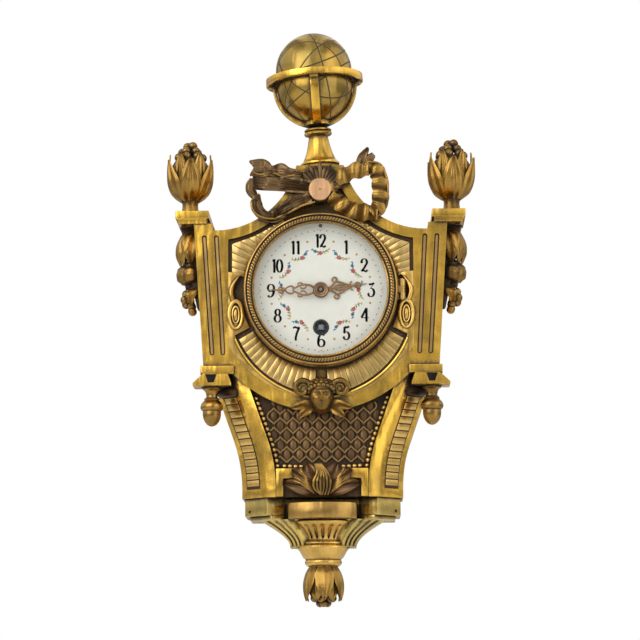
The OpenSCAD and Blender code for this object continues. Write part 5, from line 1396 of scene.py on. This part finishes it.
# %% Dial flowers
SPRIG = (
    (-5.4, 0.5, "yellow", 0.75, 0.28, 0.6), (-4.5, -0.5, "yellow", 0.7, 0.28, -0.5),
    (-3.6, 0.55, "green", 0.7, 0.25, 0.7), (-2.7, -0.5, "yellow", 0.6, 0.28, -0.4),
    (-1.8, 0.6, "green", 0.6, 0.25, 0.5), (2.2, 0.6, "green", 0.6, 0.25, -0.6),
    (4.9, 0.5, "blue", 0.6, 0.25, -0.6), (5.6, -0.2, "blue", 0.6, 0.22, 0.3),
    (1.6, -0.9, "green", 0.6, 0.24, 0.7),
)
paint = {name: bmesh.new() for name in ("pink", "blue", "yellow", "green", "gold")}
for hour in range(1, 13):
    a = math.radians(90 - 30 * hour)
    if hour != 6:
        out = Vector((math.cos(a), math.sin(a)))
        along = Vector((-out.y, out.x))
        if hour in (1, 2, 3, 12):
            along = -along

        def spot(s, rise=0.0):
            return out * (22.7 + 0.07 * s * s + 1.2 * rise) + along * -0.95 * s

        stem = [spot(s) for s in (-5.6, -3.6, -1.6, 0.4, 2.4, 4.2, 5.4)]
        pen_stroke(paint["green"], [(p.x, p.y) for p in stem], 0.16, 0.16)
        tilt = math.atan2(along.y, along.x)
        for s, rise, colour, rx, rz, twist in SPRIG:
            p = spot(s, rise)
            dot(paint[colour], p.x, p.y, 1.35 * rx, 1.35 * rz, tilt + twist, 8, FACE - 0.02)
        for k in range(5):
            turn = math.tau * k / 5
            p = spot(0.3) + 0.75 * Vector((math.cos(turn), math.sin(turn)))
            dot(paint["pink"], p.x, p.y, 0.75, 0.6, turn, 8, FACE - 0.02)
            p = spot(3.5, 0.2) + 0.6 * Vector((math.cos(turn), math.sin(turn)))
            dot(paint["blue"], p.x, p.y, 0.6, 0.45, turn, 8, FACE - 0.02)
        p = spot(0.3)
        dot(paint["yellow"], p.x, p.y, 0.3, 0.3, 0, 8, FACE - 0.05)
        p = spot(-1.0, -0.2)
        dot(paint["pink"], p.x, p.y, 0.5, 0.45, 0, 8, FACE - 0.02)
    half = a - math.radians(15)
    dot(paint["gold"], 30.6 * math.cos(half), 30.6 * math.sin(half), 0.72, 0.72)
    dot(paint["gold"], DOT_R * math.cos(a), DOT_R * math.sin(a), 0.42, 0.42)
    if hour % 3 == 0:
        for k in (-2, -1, 1, 2):
            b = a + math.radians(1.35 * k)
            dot(paint["pink"], 37.2 * math.cos(b), 37.2 * math.sin(b), 0.34, 0.2, b)
for colour, finish in (("pink", pink), ("blue", blue), ("yellow", yellow), ("green", green), ("gold", ochre)):
    set_piece(paint[colour], "dial_" + colour, finish)

# %% [markdown]
# The hands are cut from sheet and pierced in scrolls. Here each is drawn with flattened bars, pointing
# along x, and then turned to the time and laid in the plane where the frame holds it.

# %% Hands
def scroll_hand(name, node, body, strokes, degrees, hub):
    bm = bmesh.new()
    for points, radii in strokes:
        drawn(bm, [(x, 0, z) for x, z in points], 12, lambda t: glide_size(radii, t))
    bore, rim = hub
    face_lathe(bm, [(bore, 0.8), (rim, 0.8), (rim, -0.6), (rim - 0.5, -0.9), (bore, -0.9)], 0, 0, 40)
    turn = face_turn(0, middle(node).y, 0, -math.radians(degrees))
    bmesh.ops.transform(bm, matrix=turn @ Matrix.Diagonal((1, 0.3, 1, 1)), verts=bm.verts)
    set_piece(bm, name, rose, body, [node])


minute_strokes = []
for s in (1, -1):
    minute_strokes += [
        ([(3.0, 0.5 * s), (6.2, 2.6 * s), (10.5, 3.1 * s), (14.0, 1.9 * s), (17.0, 0.2 * s)],
         (0.75, 0.7, 0.65, 0.55, 0.5)),
        ([(10.2, 3.0 * s), (12.0, 4.2 * s), (13.6, 3.9 * s), (13.4, 2.9 * s)], (0.5, 0.5, 0.45, 0.4)),
        ([(8.0, 2.9 * s), (9.4, 1.2 * s), (11.2, 0.7 * s), (12.2, 1.7 * s)], (0.45, 0.5, 0.5, 0.4)),
        ([(15.6, 0.7 * s), (17.4, 2.2 * s), (19.6, 1.8 * s), (21.6, 0.2 * s)], (0.5, 0.55, 0.5, 0.45)),
        ([(22.4, 0.2 * s), (23.4, 1.5 * s), (24.8, 1.5 * s), (25.4, 0.2 * s)], (0.5, 0.6, 0.6, 0.45)),
    ]
minute_strokes += [([(20.6, 0), (24.0, 0), (28.0, 0), (32.0, 0)], (0.55, 0.75, 0.45, 0.22))]
hour_strokes = []
for s in (1, -1):
    hour_strokes += [
        ([(3.6, 0.4 * s), (6.4, 1.2 * s), (8.6, 3.2 * s), (10.6, 5.2 * s), (9.0, 6.6 * s), (7.4, 5.2 * s),
          (8.6, 3.6 * s)], (0.8, 0.7, 0.65, 0.6, 0.55, 0.5, 0.4)),
        ([(9.4, 3.9 * s), (12.4, 3.0 * s), (15.4, 1.5 * s), (18.6, 0.3 * s)], (0.6, 0.6, 0.6, 0.5)),
        ([(8.4, 0.6 * s), (10.6, 1.6 * s), (13.2, 1.2 * s), (15.6, 0.2 * s)], (0.55, 0.55, 0.55, 0.45)),
        ([(17.6, 0.4 * s), (18.4, 2.2 * s), (19.4, 2.4 * s)], (0.5, 0.5, 0.35)),
        ([(20.4, 0.2 * s), (21.6, 1.4 * s), (23.2, 1.2 * s), (23.6, 0.2 * s)], (0.5, 0.55, 0.5, 0.4)),
    ]
hour_strokes += [([(3.6, 0), (10, 0), (18, 0), (23, 0), (28.0, 0)], (0.8, 0.5, 0.6, 0.6, 0.22))]
scroll_hand("minute_scroll_hand", "minute_hand", "center", minute_strokes, 180, (1.0, 3.6))
scroll_hand("hour_scroll_hand", "hour_hand", "hour_work", hour_strokes, 7.5, (2.5, 4.7))

bm = bmesh.new()
collet = [
    (0, -58.0), (4.5, -58.0), (4.6, -58.3), (4.2, -58.7), (3.7, -58.5), (3.3, -58.5), (3.0, -58.9),
    (2.5, -58.8), (2.2, -58.7), (1.7, -59.3), (0, -59.5)
]
face_lathe(bm, collet, 0, 0, 48, False)
set_piece(bm, "hand_collet", rose, "center", ["hand_nut"])

# %% [markdown]
# A dark grommet lines the winding hole. The square of the arbor shows in its middle, as the frame has it.

# %% Winding grommet
bm = bmesh.new()
drop = middle("winding_grommet").z
rim = [
    (3.6, -53.0), (3.6, -55.3), (3.8, -55.5), (4.3, -55.5), (4.8, -55.3), (4.9, -55.0), (4.1, -55.0),
    (4.1, -53.0)
]
face_lathe(bm, rim, 0, drop, 40)
face_lathe(bm, [(2.4, -53.0), (3.9, -53.0), (3.9, -53.3), (2.4, -53.3)], 0, drop, 40)
set_piece(bm, "grommet_ring", ink, nodes=["winding_grommet"])

# %% [markdown]
# Everything that the frame still shows gets its finish here: the movement's plates and wheels in brass, the
# arbors and pinions in steel, the glass, the dial and the strap of the case.

# %% Finishes for the frame's own nodes
NODE_FINISH = {
    movement_brass: (
        "hanging_plate", "bezel_seat", "front_plate", "back_plate", "plate_pillars", "pallet_cock",
        "bezel_hinge_pin", "barrel", "intermediate_wheel", "center_wheel", "third_wheel", "escape_wheel",
        "minute_wheel", "hour_wheel", "pendulum_bob",
    ),
    steel: (
        "seat_screws", "click_spring", "mainspring", "winding_arbor", "ratchet_wheel", "click",
        "intermediate_pinion", "center_arbor", "cannon_pinion", "third_pinion", "escape_pinion", "pallets",
        "suspension_spring", "pendulum_rod", "rate_arbor",
    ),
    enamel: ("dial",),
    glass: ("bezel_glass",),
}
for finish, nodes in NODE_FINISH.items():
    for node in nodes:
        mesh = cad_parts[node].data
        mesh.materials.clear()
        mesh.materials.append(finish)
print("nodes finished", sum(len(nodes) for nodes in NODE_FINISH.values()))
